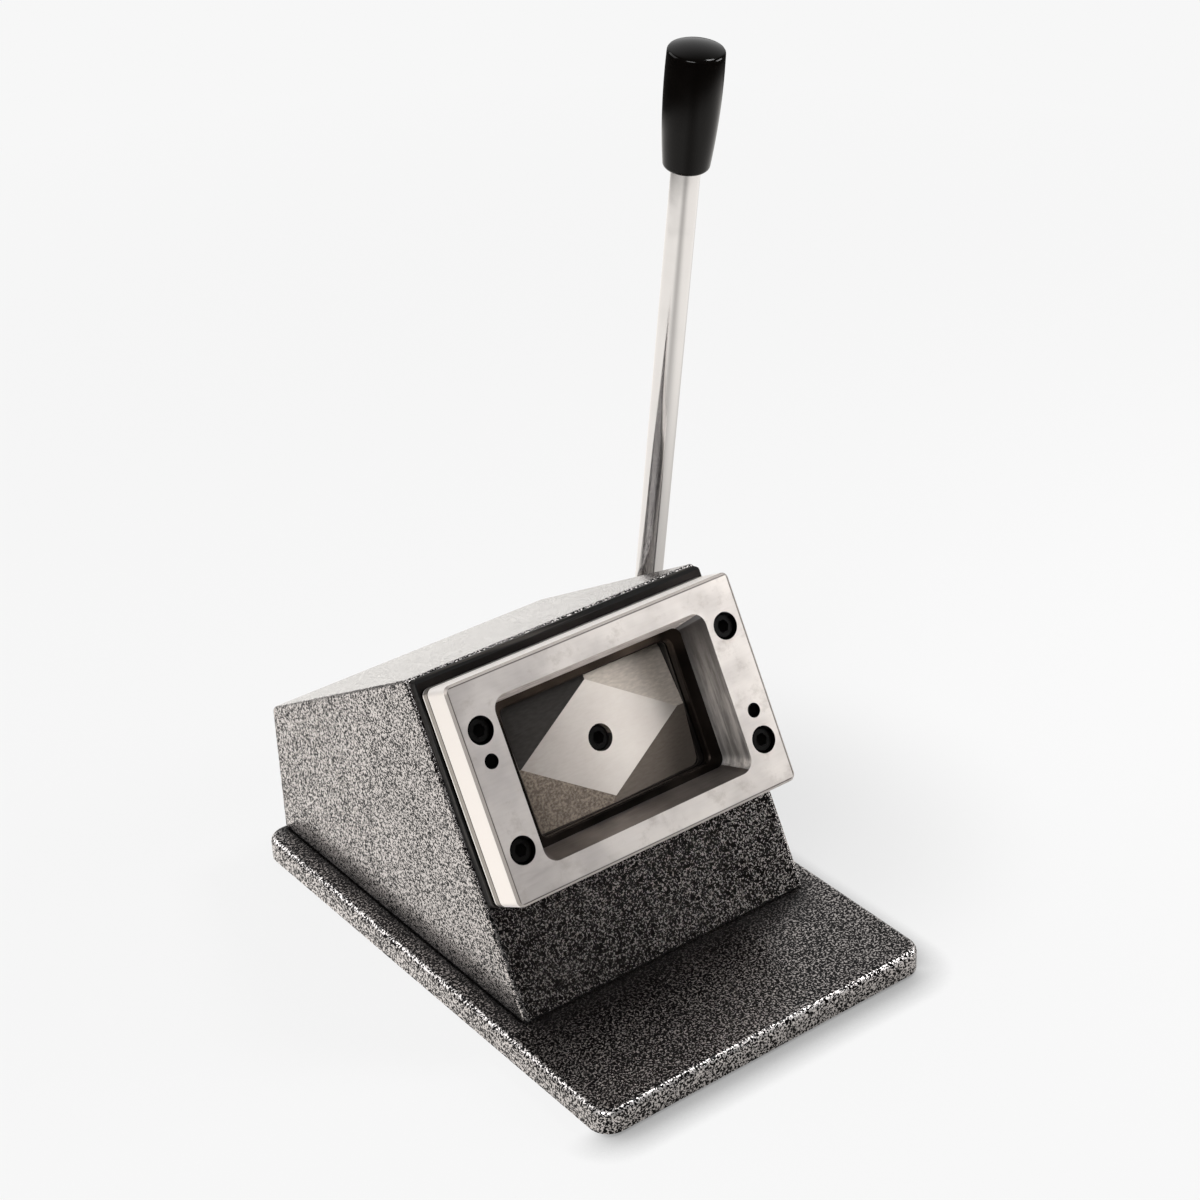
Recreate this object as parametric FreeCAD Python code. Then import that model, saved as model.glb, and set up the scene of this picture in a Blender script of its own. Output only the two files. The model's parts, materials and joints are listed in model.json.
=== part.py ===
import FreeCAD, Part
import math
import os

from FreeCAD import Placement, Rotation, Vector

# Desk punch that cuts identity cards out of a plastic sheet.
# Millimetres and degrees. +Z is up, the sloping front looks towards -Y, the lever is on +X.
# The origin is the middle of the base's footprint, on the desk.
# "Face frame": x across, v up the sloping front, w outwards from it. Its origin is the middle
# of the line where the housing's front meets the top of the base.

# ---------------------------------------------------------------- the card that is cut
CARD_W = 85.6
CARD_H = 54.0
CARD_R = 3.18

# ---------------------------------------------------------------- base
BASE_SIDE_LAND = 10.4
BASE_APRON = 63.6
BASE_REAR_LAND = 2.9
BASE_T = 10.5
BASE_CORNER_R = 9.0
BASE_EDGE_R = 3.0
PAD_T = 1.5
PAD_INSET = 5.0

# ---------------------------------------------------------------- housing
HOUSING_LAND = 1.3
HOUSING_DEPTH = 180.7
HOUSING_CROWN = 0.8
FACE_TILT = 28.8
ROOF_OFF_SQUARE = 1.57
SHEET_T = 2.0
BEND_R = 1.8
GASKET_T = 1.0
GASKET_W = 2.4
GASKET_INSET = 0.6
REAR_LIP = 10.0
COVER_FIT = 0.3

# ---------------------------------------------------------------- cutting head
FRAME_SIDE = 27.7
FRAME_END = 18.5
HEAD_CORNER_R = 3.0
PLATE_FOOT_V = 48.5
GUIDE_LAND = 0.7
GUIDE_RISE = 4.7
GUIDE_T = 4.5
GUIDE_CORNER_R = 2.5
GUIDE_CHAMFER = 0.5
GUIDE_LEAD_IN = 1.9
SLOT_GAP = 1.3
DIE_T = 3.8
DIE_LIP = 0.6
FRAME_T = 14.7
FRAME_BEVEL = 1.0
WINDOW_FLARE_BACK_W = 5.9
WINDOW_FLARE_BACK_H = 3.4
WINDOW_FLARE_FRONT_W = 9.6
WINDOW_FLARE_FRONT_H = 7.45
WINDOW_R_BACK = 4.0
WINDOW_R_FRONT = 6.0
HEAD_SCREW_EDGE_X = 9.5
HEAD_SCREW_EDGE_V = 20.75
HEAD_SCREW_SINK = 1.6
DOWEL_D = 6.0
DOWEL_V = 12.0
DOWEL_SINK = 3.0
DOWEL_BITE = 3.6
SPACER_EDGE = 3.5
SPACER_W = 12.0
SPACER_FOOT = 7.0

# ---------------------------------------------------------------- punch and ram
PUNCH_T = 18.0
PUNCH_REST_SINK = 0.6
PUNCH_CORNER_DROP = 4.5
DIAMOND_INSET_X = 3.5
DIAMOND_INSET_V = 2.6
DIAMOND_LEAN_X = 1.8
DIAMOND_LEAN_V = 0.8
HOLDER_T = 16.0
HOLDER_INSET_X = 2.8
HOLDER_INSET_V = 2.0
RAM_PLATE_T = 12.0
RAM_SIDE_GAP = 3.0
RAM_BAR_W = 40.0
RAM_BAR_H = 32.0
RAM_BAR_L = 37.15
WEAR_PAD_T = 4.0
WEAR_PAD_INSET = 4.0
PUNCH_DOWEL_EDGE = 12.0
HOLDER_SCREW_EDGE_X = 10.0
HOLDER_SCREW_EDGE_V = 8.0
BAR_SCREW_EDGE = 7.0
LOCK_NUT_H = 3.2
STOP_SCREW_EDGE = 4.5
STOP_SCREW_TAIL = 4.0

# ---------------------------------------------------------------- guides and springs
ROD_D = 10.0
ROD_INSET_X = 7.8
ROD_SPIGOT_D = 8.0
ROD_SPIGOT_BITE = 3.5
SPRING_GAP = 1.0
SPRING_WIRE = 1.6
SPRING_WIRE_H = 1.8
SPRING_TURNS = 7
RAM_BUSH_WALL = 2.0
RAM_BUSH_TAIL = 4.0
RAM_PLATE_RIM = 3.5
BRIDGE_T = 10.0
REST_SLEEVE_L = 11.85
LINER_T = 2.0
ROD_NUT_AF = 13.0
ROD_NUT_H = 6.5
BRIDGE_SCREW_EDGE = 18.1

# ---------------------------------------------------------------- side plates
SIDE_T = 12.0
SIDE_TOP_DROP = 8.0
SIDE_TOE = 10.0
SIDE_TAIL = 28.0
SIDE_TAIL_H = 58.0
SIDE_SCREW_FIRST = 30.0
SIDE_SCREW_PITCH = 114.0
BRACKET_W = 90.0
BRACKET_D = 18.0
BRACKET_H = 22.0
BRACKET_T = 3.0
BRACKET_SCREW_X = 30.0
COVER_SCREW_TOP_DROP = 8.0

# ---------------------------------------------------------------- shaft, cam and lever
STROKE_PER_RADIAN = 8.0
LEVER_SWING = 60.0
SHAFT_D = 18.0
SHAFT_TAIL = 2.9
CAM_REST_H = 17.0
CAM_HUB_R = 16.0
CAM_W = 28.0
CAM_OVERRUN = 4.0
KEY_S = 6.0
BUSH_WALL = 3.0
BUSH_FLANGE_T = 2.0
BUSH_FLANGE_R = 15.0
COLLAR_W = 8.0
COLLAR_R = 15.0
GROMMET_FLANGE_T = 1.5
GROMMET_FLANGE_R = 15.0
GROMMET_WALL = 2.0
HUB_D = 34.0
HUB_W = 22.0
HUB_GAP = 0.5
LEVER_LEAN = 9.2
LEVER_ROD_D = 12.0
LEVER_ROD_END = 269.55
LEVER_SPIGOT_D = 10.0
KNOB_SHOULDER = 50.1
KNOB_DOME = 2.25
KNOB_BOTTOM_R = 9.57
KNOB_BELLY_R = 11.35
KNOB_BELLY_AT = 25.3
KNOB_TOP_R = 11.41
KNOB_BOTTOM_ROUND = 2.0
KNOB_TOP_ROUND = 0.9
INSERT_D = 12.0
INSERT_L = 24.0
KNOB_THREAD_D = 8.0

# ---------------------------------------------------------------- fits and clearances
PUNCH_FIT = 0.03
GUIDE_FIT = 0.05
RUN_FIT = 0.05
SLIDE_FIT = 0.08
THREAD_FIT = 0.03
HOLE_FIT = 0.3
SEAT_GAP = 0.05
AXIAL_GAP = 0.3

# Socket screws: shank, cap head, countersunk head and hexagon key sizes.
M4 = {"d": 4.0, "head_d": 7.0, "head_h": 4.0, "csk_d": 8.0, "key": 2.5}
M5 = {"d": 5.0, "head_d": 8.5, "head_h": 5.0, "csk_d": 10.0, "key": 3.0}
M6 = {"d": 6.0, "head_d": 10.0, "head_h": 6.0, "csk_d": 12.0, "key": 5.0}
HEAD_BORE_FIT = 0.7

# ---------------------------------------------------------------- worked out from the above
PLATE_W = CARD_W + 2 * FRAME_SIDE
PLATE_H = CARD_H + 2 * FRAME_END
PLATE_CENTRE_V = PLATE_FOOT_V + PLATE_H / 2
PLATE_TOP_V = PLATE_FOOT_V + PLATE_H
GUIDE_W = PLATE_W + 2 * GUIDE_LAND
GUIDE_TOP_V = PLATE_TOP_V + GUIDE_RISE
HEAD_SCREW_X = PLATE_W / 2 - HEAD_SCREW_EDGE_X
HEAD_SCREW_V = PLATE_H / 2 - HEAD_SCREW_EDGE_V

HOUSING_W = GUIDE_W + 2 * HOUSING_LAND
FACE_LENGTH = GUIDE_TOP_V + HOUSING_CROWN
BASE_W = HOUSING_W + 2 * BASE_SIDE_LAND
BASE_D = BASE_APRON + HOUSING_DEPTH + BASE_REAR_LAND
BASE_TOP = PAD_T + BASE_T
FRONT_Y = -BASE_D / 2 + BASE_APRON
REAR_Y = FRONT_Y + HOUSING_DEPTH
TILT = math.radians(FACE_TILT)
ROOF_FALL = math.radians(FACE_TILT + ROOF_OFF_SQUARE)
SHELL_IN_X = HOUSING_W / 2 - SHEET_T

SLOT_W = GUIDE_T
DIE_BACK_W = SLOT_W + SLOT_GAP
DIE_FRONT_W = DIE_BACK_W + DIE_T
HEAD_FRONT_W = DIE_FRONT_W + FRAME_T

SIDE_IN_X = HEAD_SCREW_X - SIDE_T / 2
SIDE_OUT_X = HEAD_SCREW_X + SIDE_T / 2

PUNCH_FACE_W = GUIDE_T - PUNCH_REST_SINK
PUNCH_BACK_W = PUNCH_FACE_W - PUNCH_T
HOLDER_BACK_W = PUNCH_BACK_W - HOLDER_T
RAM_BACK_W = HOLDER_BACK_W - RAM_PLATE_T
STROKE = STROKE_PER_RADIAN * math.radians(LEVER_SWING)
HOLDER_W = CARD_W - 2 * HOLDER_INSET_X
HOLDER_H = CARD_H - 2 * HOLDER_INSET_V
HOLDER_SCREW_X = HOLDER_W / 2 - HOLDER_SCREW_EDGE_X
HOLDER_SCREW_V = HOLDER_H / 2 - HOLDER_SCREW_EDGE_V
PUNCH_DOWEL_X = HOLDER_W / 2 - PUNCH_DOWEL_EDGE
SPRING_OUT_R = ROD_D / 2 + SPRING_GAP + SPRING_WIRE
ROD_X = CARD_W / 2 - ROD_INSET_X
ROD_V = CARD_H / 2 + SPRING_OUT_R + SPRING_GAP
RAM_BUSH_R = ROD_D / 2 + RAM_BUSH_WALL
RAM_PLATE_W = 2 * (SIDE_IN_X - RAM_SIDE_GAP)
RAM_PLATE_H = 2 * (ROD_V + RAM_BUSH_R + RAM_PLATE_RIM)
STOP_SCREW_X = RAM_PLATE_W / 2 - STOP_SCREW_EDGE
BAR_SCREW_X = RAM_BAR_W / 2 - BAR_SCREW_EDGE
BAR_SCREW_V = RAM_BAR_H / 2 - BAR_SCREW_EDGE
WEAR_PAD_W = RAM_BAR_W - 2 * WEAR_PAD_INSET
WEAR_PAD_H = RAM_BAR_H - 2 * WEAR_PAD_INSET
PAD_SCREW_X = WEAR_PAD_W / 2 - BAR_SCREW_EDGE
BRIDGE_W_FACE = RAM_BACK_W - RAM_BUSH_TAIL - SEAT_GAP - REST_SLEEVE_L
BRIDGE_BACK_W = BRIDGE_W_FACE - BRIDGE_T
BRIDGE_SCREW_V = RAM_PLATE_H / 2 - BRIDGE_SCREW_EDGE
RAM_BAR_BACK_W = RAM_BACK_W - RAM_BAR_L
WEAR_FACE_W = RAM_BAR_BACK_W - WEAR_PAD_T
SHAFT_W_FACE = WEAR_FACE_W - SEAT_GAP - CAM_REST_H
SHAFT_V = PLATE_CENTRE_V - STROKE_PER_RADIAN

SHAFT_R = SHAFT_D / 2
COLLAR_OUT_X = SIDE_IN_X - BUSH_FLANGE_T - AXIAL_GAP
GROMMET_OUT_X = HOUSING_W / 2 + GROMMET_FLANGE_T
HUB_IN_X = GROMMET_OUT_X + HUB_GAP
HUB_OUT_X = HUB_IN_X + HUB_W
LEVER_X = HUB_IN_X + HUB_W / 2
KNOB_H = KNOB_SHOULDER + KNOB_DOME

FACE = Placement(Vector(0, FRONT_Y, BASE_TOP), Rotation(Vector(1, 0, 0), 90 - FACE_TILT))
CREST = FACE.multVec(Vector(0, FACE_LENGTH, 0))
REAR_TOP_Z = CREST.z - (REAR_Y - CREST.y) * math.tan(ROOF_FALL)
SHAFT_CENTRE = FACE.multVec(Vector(0, SHAFT_V, SHAFT_W_FACE))
LEVER = Placement(
    Vector(LEVER_X, SHAFT_CENTRE.y, SHAFT_CENTRE.z), Rotation(Vector(1, 0, 0), LEVER_LEAN)
)

X_AXIS = Vector(1, 0, 0)
Y_AXIS = Vector(0, 1, 0)
Z_AXIS = Vector(0, 0, 1)


# ================================================================ small shape helpers
def box(x0, x1, y0, y1, z0, z1):
    return Part.makeBox(x1 - x0, y1 - y0, z1 - z0, Vector(x0, y0, z0))


def rod(radius, start, axis, length):
    return Part.makeCylinder(radius, length, start, axis)


def tube(outer_r, inner_r, start, axis, length):
    return rod(outer_r, start, axis, length).cut(rod(inner_r, start, axis, length))


def prism(points, direction):
    wire = Part.makePolygon(points + points[:1])
    return Part.Face(wire).extrude(direction)


def hexagon(across_flats, start, axis, length):
    """A six-sided bar that starts at start and runs along axis."""
    corner_r = across_flats / 2 / math.cos(math.pi / 6)
    points = [
        Vector(corner_r * math.cos(math.pi / 3 * i), corner_r * math.sin(math.pi / 3 * i), 0)
        for i in range(6)
    ]
    shape = prism(points, Vector(0, 0, length))
    shape.Placement = Placement(start, Rotation(Z_AXIS, axis))
    return shape


def rounded_outline(width, height, radius, centre_v, w):
    """A closed wire: a rectangle with round corners, flat at depth w."""
    x, v = width / 2, height / 2
    flat = []
    for sx, sv in ((1, 1), (-1, 1), (-1, -1), (1, -1)):
        near = Vector(sx * (x - radius), centre_v + sv * v, w)
        side = Vector(sx * x, centre_v + sv * (v - radius), w)
        diagonal = radius * (1 - math.sqrt(0.5))
        middle = Vector(sx * (x - diagonal), centre_v + sv * (v - diagonal), w)
        flat.append((side, middle, near) if sx == sv else (near, middle, side))
    edges = []
    for i, (start, middle, end) in enumerate(flat):
        edges.append(Part.Arc(start, middle, end).toShape())
        edges.append(Part.makeLine(end, flat[(i + 1) % 4][0]))
    return Part.Wire(edges)


def rounded_block(width, height, radius, centre_v, w0, w1):
    outline = rounded_outline(width, height, radius, centre_v, w0)
    return Part.Face(outline).extrude(Vector(0, 0, w1 - w0))


def on_face(shape):
    """Moves a shape from the face frame to where the sloping front stands."""
    moved = shape.copy()
    moved.Placement = FACE.multiply(shape.Placement)
    return moved


def on_lever(shape):
    moved = shape.copy()
    moved.Placement = LEVER.multiply(shape.Placement)
    return moved


def four(x, v):
    """The corners of a rectangle about the punch's centre, in the face frame."""
    return [(sx * x, PLATE_CENTRE_V + sv * v) for sx in (-1, 1) for sv in (-1, 1)]


def meet(p, p_dir, q, q_dir):
    """Where two lines in a plane cross. Points and directions are (y, z) pairs."""
    cross = p_dir[0] * q_dir[1] - p_dir[1] * q_dir[0]
    along = ((q[0] - p[0]) * q_dir[1] - (q[1] - p[1]) * q_dir[0]) / cross
    return (p[0] + along * p_dir[0], p[1] + along * p_dir[1])


# ================================================================ screws
def cap_screw(size, seat, axis, length):
    """Socket cap screw. Its head stands on seat, and its shank runs along axis."""
    up = axis * -1
    shank = rod(size["d"] / 2, seat, axis, length)
    head = rod(size["head_d"] / 2, seat, up, size["head_h"])
    top = seat + up * size["head_h"]
    return shank.fuse(head).cut(hexagon(size["key"], top, axis, size["head_h"] / 2)).removeSplitter()


def flush_screw(size, top, axis, length):
    """Countersunk screw. The middle of its head's flat top is at top."""
    cone_h = (size["csk_d"] - size["d"]) / 2
    cone = Part.makeCone(size["csk_d"] / 2, size["d"] / 2, cone_h, top, axis)
    shank = rod(size["d"] / 2, top, axis, length)
    return cone.fuse(shank).cut(hexagon(size["key"] * 0.8, top, axis, cone_h * 0.8)).removeSplitter()


def flush_hole(size, top, axis, length):
    """The cutter that leaves room for flush_screw in the piece that takes its head."""
    head_r = size["csk_d"] / 2 + HOLE_FIT
    hole_r = size["d"] / 2 + HOLE_FIT
    return Part.makeCone(head_r, hole_r, head_r - hole_r, top, axis).fuse(rod(hole_r, top, axis, length))


def tapped_hole(size, start, axis, length):
    return rod(size["d"] / 2 + THREAD_FIT, start, axis, length)


def clear_hole(size, start, axis, length):
    return rod(size["d"] / 2 + HOLE_FIT, start, axis, length)


# ================================================================ base
def side_screw_spots():
    first = FRONT_Y + SIDE_SCREW_FIRST
    return [(sx * HEAD_SCREW_X, y) for sx in (-1, 1) for y in (first, first + SIDE_SCREW_PITCH)]


def bracket_screw_spots():
    y = REAR_Y - SHEET_T - BRACKET_T - (BRACKET_D - BRACKET_T) / 2
    return [(sx * BRACKET_SCREW_X, y) for sx in (-1, 1)]


def base_plate():
    plate = box(-BASE_W / 2, BASE_W / 2, -BASE_D / 2, BASE_D / 2, PAD_T, BASE_TOP)
    upright = [e for e in plate.Edges if abs(e.tangentAt(e.FirstParameter).z) > 0.9]
    plate = plate.makeFillet(BASE_CORNER_R, upright)
    rim = [e for e in plate.Edges if all(abs(p.Z - BASE_TOP) < 0.001 for p in e.Vertexes)]
    plate = plate.makeFillet(BASE_EDGE_R, rim)
    for x, y in side_screw_spots():
        plate = plate.cut(flush_hole(M6, Vector(x, y, PAD_T), Z_AXIS, BASE_T))
    for x, y in bracket_screw_spots():
        plate = plate.cut(flush_hole(M5, Vector(x, y, PAD_T), Z_AXIS, BASE_T))
    return plate


def base_pad():
    x = BASE_W / 2 - PAD_INSET
    y = BASE_D / 2 - PAD_INSET
    pad = box(-x, x, -y, y, 0, PAD_T)
    upright = [e for e in pad.Edges if abs(e.tangentAt(e.FirstParameter).z) > 0.9]
    pad = pad.makeFillet(BASE_CORNER_R - PAD_INSET / 2, upright)
    for x, y in side_screw_spots():
        pad = pad.cut(rod(M6["csk_d"] / 2 + HOLE_FIT * 2, Vector(x, y, 0), Z_AXIS, PAD_T))
    for x, y in bracket_screw_spots():
        pad = pad.cut(rod(M5["csk_d"] / 2 + HOLE_FIT * 2, Vector(x, y, 0), Z_AXIS, PAD_T))
    return pad


def side_plate_screws():
    length = BASE_T + SIDE_T
    return [flush_screw(M6, Vector(x, y, PAD_T), Z_AXIS, length) for x, y in side_screw_spots()]


def bracket_screws():
    length = BASE_T + BRACKET_T
    return [flush_screw(M5, Vector(x, y, PAD_T), Z_AXIS, length) for x, y in bracket_screw_spots()]


# ================================================================ housing
def top_slope():
    """Direction of the housing's roof, from its front edge to its rear edge, as (y, z)."""
    return (math.cos(ROOF_FALL), -math.sin(ROOF_FALL))


def side_outline(inset, overrun):
    """Housing side view, drawn inset from the front and top, run past its foot and rear."""
    slope = top_slope()
    front_point = FACE.multVec(Vector(0, 0, -inset))
    front_dir = (math.sin(TILT), math.cos(TILT))
    top_point = (CREST.y + slope[1] * inset, CREST.z - slope[0] * inset)
    low = BASE_TOP + GASKET_T - overrun
    back = REAR_Y + overrun
    foot = meet((front_point.y, front_point.z), front_dir, (0, low), (1, 0))
    crest = meet((front_point.y, front_point.z), front_dir, top_point, slope)
    tail = meet(top_point, slope, (back, 0), (0, 1))
    return [foot, crest, tail, (back, low)]


def side_prism(outline, half_width):
    points = [Vector(-half_width, y, z) for y, z in outline]
    return prism(points, Vector(2 * half_width, 0, 0))


def bend_edges(shape):
    """The housing's bent edges: along both sides of the front and top, and across its crest."""
    slope = top_slope()
    found = []
    for edge in shape.Edges:
        way = edge.tangentAt(edge.FirstParameter)
        middle = edge.CenterOfMass
        up_front = abs(way.y * math.cos(TILT) - way.z * math.sin(TILT)) < 0.001
        along_top = abs(way.y * slope[1] - way.z * slope[0]) < 0.001
        if abs(way.x) > 0.9:
            if abs(middle.z - CREST.z) < 0.01:
                found.append(edge)
        elif up_front or along_top:
            found.append(edge)
    return found


def sheet_opening():
    """The front sheet is open behind the guide plate, so that the ram can reach the punch."""
    half_h = ROD_V + SPRING_OUT_R + SPRING_GAP / 2
    return box(
        -RAM_PLATE_W / 2, RAM_PLATE_W / 2,
        PLATE_CENTRE_V - half_h, PLATE_CENTRE_V + half_h,
        -2 * SHEET_T, SHEET_T,
    )


def cover_screw_spots():
    """Rear cover screws as (x, z): two into the bracket, two into the housing's lip."""
    low_z = BASE_TOP + BRACKET_H - BRACKET_T * 2
    high_z = REAR_TOP_Z - COVER_SCREW_TOP_DROP
    high_x = SHELL_IN_X - REAR_LIP / 2
    return [(-BRACKET_SCREW_X, low_z), (BRACKET_SCREW_X, low_z), (-high_x, high_z), (high_x, high_z)]


def housing_body():
    body = side_prism(side_outline(0, 0), HOUSING_W / 2)
    return body.makeFillet(BEND_R, bend_edges(body))


def housing_shell():
    """One bent sheet: the sloping front, the roof, and a lip that the rear cover screws to."""
    body = housing_body()
    between = box(-SHELL_IN_X, SHELL_IN_X, FRONT_Y - BASE_T, REAR_Y + BASE_T, 0, 2 * FACE_LENGTH)
    shell = body.cut(side_prism(side_outline(SHEET_T, BASE_T), HOUSING_W)).common(between)
    lip_back = REAR_Y - SHEET_T
    lip = box(
        -SHELL_IN_X, SHELL_IN_X, lip_back - SHEET_T, lip_back,
        REAR_TOP_Z - SHEET_T - REAR_LIP, REAR_TOP_Z * 2,
    )
    shell = shell.fuse(lip.common(body)).removeSplitter()
    shell = shell.cut(on_face(sheet_opening()))
    for x, v in four(HEAD_SCREW_X, HEAD_SCREW_V):
        shell = shell.cut(on_face(clear_hole(M6, Vector(x, v, -2 * SHEET_T), Z_AXIS, 4 * SHEET_T)))
    for x, z in cover_screw_spots()[2:]:
        shell = shell.cut(tapped_hole(M4, Vector(x, REAR_Y - 3 * SHEET_T, z), Y_AXIS, 3 * SHEET_T))
    return shell


def housing_cheek(side):
    """Flat side of the housing, welded into the bent sheet."""
    inner, outer = sorted((side * SHELL_IN_X, side * HOUSING_W))
    slab = box(inner, outer, FRONT_Y - BASE_T, REAR_Y + BASE_T, 0, 2 * FACE_LENGTH)
    cheek = housing_body().common(slab)
    if side < 0:
        return cheek
    return cheek.cut(rod(grommet_body_r(), shaft_point(SHELL_IN_X - SHEET_T), X_AXIS, 3 * SHEET_T))


def housing_gasket():
    z0, z1 = BASE_TOP, BASE_TOP + GASKET_T
    x = HOUSING_W / 2 - GASKET_INSET
    front = FRONT_Y + GASKET_T * math.tan(TILT) + GASKET_INSET
    back = REAR_Y - GASKET_INSET
    outer = box(-x, x, front, back, z0, z1)
    return outer.cut(box(GASKET_W - x, x - GASKET_W, front + GASKET_W, back - GASKET_W, z0, z1))


def rear_cover():
    half = SHELL_IN_X - COVER_FIT
    top = side_outline(SHEET_T, 0)[2][1] - COVER_FIT
    cover = box(-half, half, REAR_Y - SHEET_T, REAR_Y, BASE_TOP + GASKET_T + COVER_FIT, top)
    for x, z in cover_screw_spots():
        cover = cover.cut(clear_hole(M4, Vector(x, REAR_Y - 2 * SHEET_T, z), Y_AXIS, 4 * SHEET_T))
    return cover


def button_screw(size, seat, axis, length):
    """Low round-headed socket screw. The head stands on seat."""
    head_h = size["d"] * 0.5
    up = axis * -1
    head = Part.makeCone(size["head_d"] / 2, size["head_d"] / 2 - head_h * 0.7, head_h, seat, up)
    shank = rod(size["d"] / 2, seat, axis, length)
    socket = hexagon(size["key"], seat + up * head_h, axis, head_h * 0.6)
    return head.fuse(shank).cut(socket).removeSplitter()


def rear_cover_screws():
    back = Y_AXIS * -1
    length = SHEET_T + BRACKET_T
    return [button_screw(M4, Vector(x, REAR_Y, z), back, length) for x, z in cover_screw_spots()]


def rear_bracket():
    back = REAR_Y - SHEET_T
    x = BRACKET_W / 2
    foot = box(-x, x, back - BRACKET_D, back - GASKET_W, BASE_TOP, BASE_TOP + BRACKET_T)
    wall = box(-x, x, back - BRACKET_T, back, BASE_TOP + BRACKET_T, BASE_TOP + BRACKET_H)
    joint = box(-x, x, back - BRACKET_T - GASKET_W, back, BASE_TOP + GASKET_T + COVER_FIT, BASE_TOP + BRACKET_T)
    bracket = foot.fuse(wall).fuse(joint).removeSplitter()
    for x, y in bracket_screw_spots():
        bracket = bracket.cut(tapped_hole(M5, Vector(x, y, BASE_TOP), Z_AXIS, BRACKET_T))
    for x, z in cover_screw_spots()[:2]:
        bracket = bracket.cut(tapped_hole(M4, Vector(x, back - BRACKET_T, z), Y_AXIS, BRACKET_T))
    return bracket


# ================================================================ side plates and bridge
def side_outline_points():
    """Side plate seen from the side, as (y, z): it fills the housing from the front to the shaft."""
    toe = FACE.multVec(Vector(0, SIDE_TOE / math.cos(TILT), -SHEET_T))
    top_v = FACE_LENGTH - SIDE_TOP_DROP
    crest = FACE.multVec(Vector(0, top_v, -SHEET_T))
    top = FACE.multVec(Vector(0, top_v - SHEET_T, BRIDGE_BACK_W))
    tail_y = SHAFT_CENTRE.y + SIDE_TAIL
    return [
        (toe.y + SIDE_TOE / 2, BASE_TOP), (toe.y, toe.z), (crest.y, crest.z), (top.y, top.z),
        (tail_y, BASE_TOP + SIDE_TAIL_H), (tail_y, BASE_TOP),
    ]


def side_plate(side):
    inner = side * SIDE_IN_X
    points = [Vector(inner, y, z) for y, z in side_outline_points()]
    plate = prism(points, Vector(side * SIDE_T, 0, 0))
    for v in (-HEAD_SCREW_V, HEAD_SCREW_V):
        start = Vector(side * HEAD_SCREW_X, PLATE_CENTRE_V + v, 0)
        plate = plate.cut(on_face(tapped_hole(M6, start, Z_AXIS * -1, head_screw_length())))
    for x, y in side_screw_spots():
        if x * side > 0:
            depth = BASE_TOP + SIDE_T + SEAT_GAP
            plate = plate.cut(tapped_hole(M6, Vector(x, y, 0), Z_AXIS, depth))
    outward = X_AXIS * side
    for seat in bridge_screw_seats(side):
        far = M6["head_h"] * 4
        plate = plate.cut(on_face(rod(M6["head_d"] / 2 + HOLE_FIT, seat, outward, far)))
        plate = plate.cut(on_face(clear_hole(M6, seat - outward * SIDE_T, outward, 2 * SIDE_T)))
    start = Vector(side * (SIDE_IN_X - SIDE_T), SHAFT_CENTRE.y, SHAFT_CENTRE.z)
    return plate.cut(rod(SHAFT_R + RUN_FIT + BUSH_WALL, start, outward, 3 * SIDE_T))


def bridge_middle_w():
    return BRIDGE_W_FACE - BRIDGE_T / 2


def bridge_screw_seats(side):
    """Where the bridge screws' heads seat inside the side plate, in the face frame."""
    seat_x = side * (SIDE_OUT_X - M6["head_h"] - SEAT_GAP)
    return [
        Vector(seat_x, PLATE_CENTRE_V + sv * BRIDGE_SCREW_V, bridge_middle_w()) for sv in (-1, 1)
    ]


def bridge_screws():
    screws = []
    for side in (-1, 1):
        for seat in bridge_screw_seats(side):
            screws.append(on_face(cap_screw(M6, seat, X_AXIS * -side, 2 * SIDE_T - M6["head_h"])))
    return screws


def ram_bridge():
    half_h = RAM_PLATE_H / 2
    bridge = box(
        -SIDE_IN_X, SIDE_IN_X, PLATE_CENTRE_V - half_h, PLATE_CENTRE_V + half_h,
        BRIDGE_BACK_W, BRIDGE_W_FACE,
    )
    liner_w = RAM_BAR_W / 2 + SLIDE_FIT + LINER_T
    liner_h = RAM_BAR_H / 2 + SLIDE_FIT + LINER_T
    bridge = bridge.cut(box(
        -liner_w, liner_w, PLATE_CENTRE_V - liner_h, PLATE_CENTRE_V + liner_h,
        BRIDGE_BACK_W, BRIDGE_W_FACE,
    ))
    for x, v in four(ROD_X, ROD_V):
        start = Vector(x, v, BRIDGE_BACK_W)
        bridge = bridge.cut(rod(ROD_SPIGOT_D / 2 + THREAD_FIT, start, Z_AXIS, BRIDGE_T))
    for side in (-1, 1):
        for seat in bridge_screw_seats(side):
            bridge = bridge.cut(tapped_hole(M6, seat, X_AXIS * -side, 2 * SIDE_T))
    return on_face(bridge)


def ram_liner():
    inner_w = RAM_BAR_W / 2 + SLIDE_FIT
    inner_h = RAM_BAR_H / 2 + SLIDE_FIT
    outer = box(
        -inner_w - LINER_T, inner_w + LINER_T,
        PLATE_CENTRE_V - inner_h - LINER_T, PLATE_CENTRE_V + inner_h + LINER_T,
        BRIDGE_BACK_W, BRIDGE_W_FACE,
    )
    inner = box(
        -inner_w, inner_w, PLATE_CENTRE_V - inner_h, PLATE_CENTRE_V + inner_h,
        BRIDGE_BACK_W, BRIDGE_W_FACE,
    )
    return on_face(outer.cut(inner))


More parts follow.
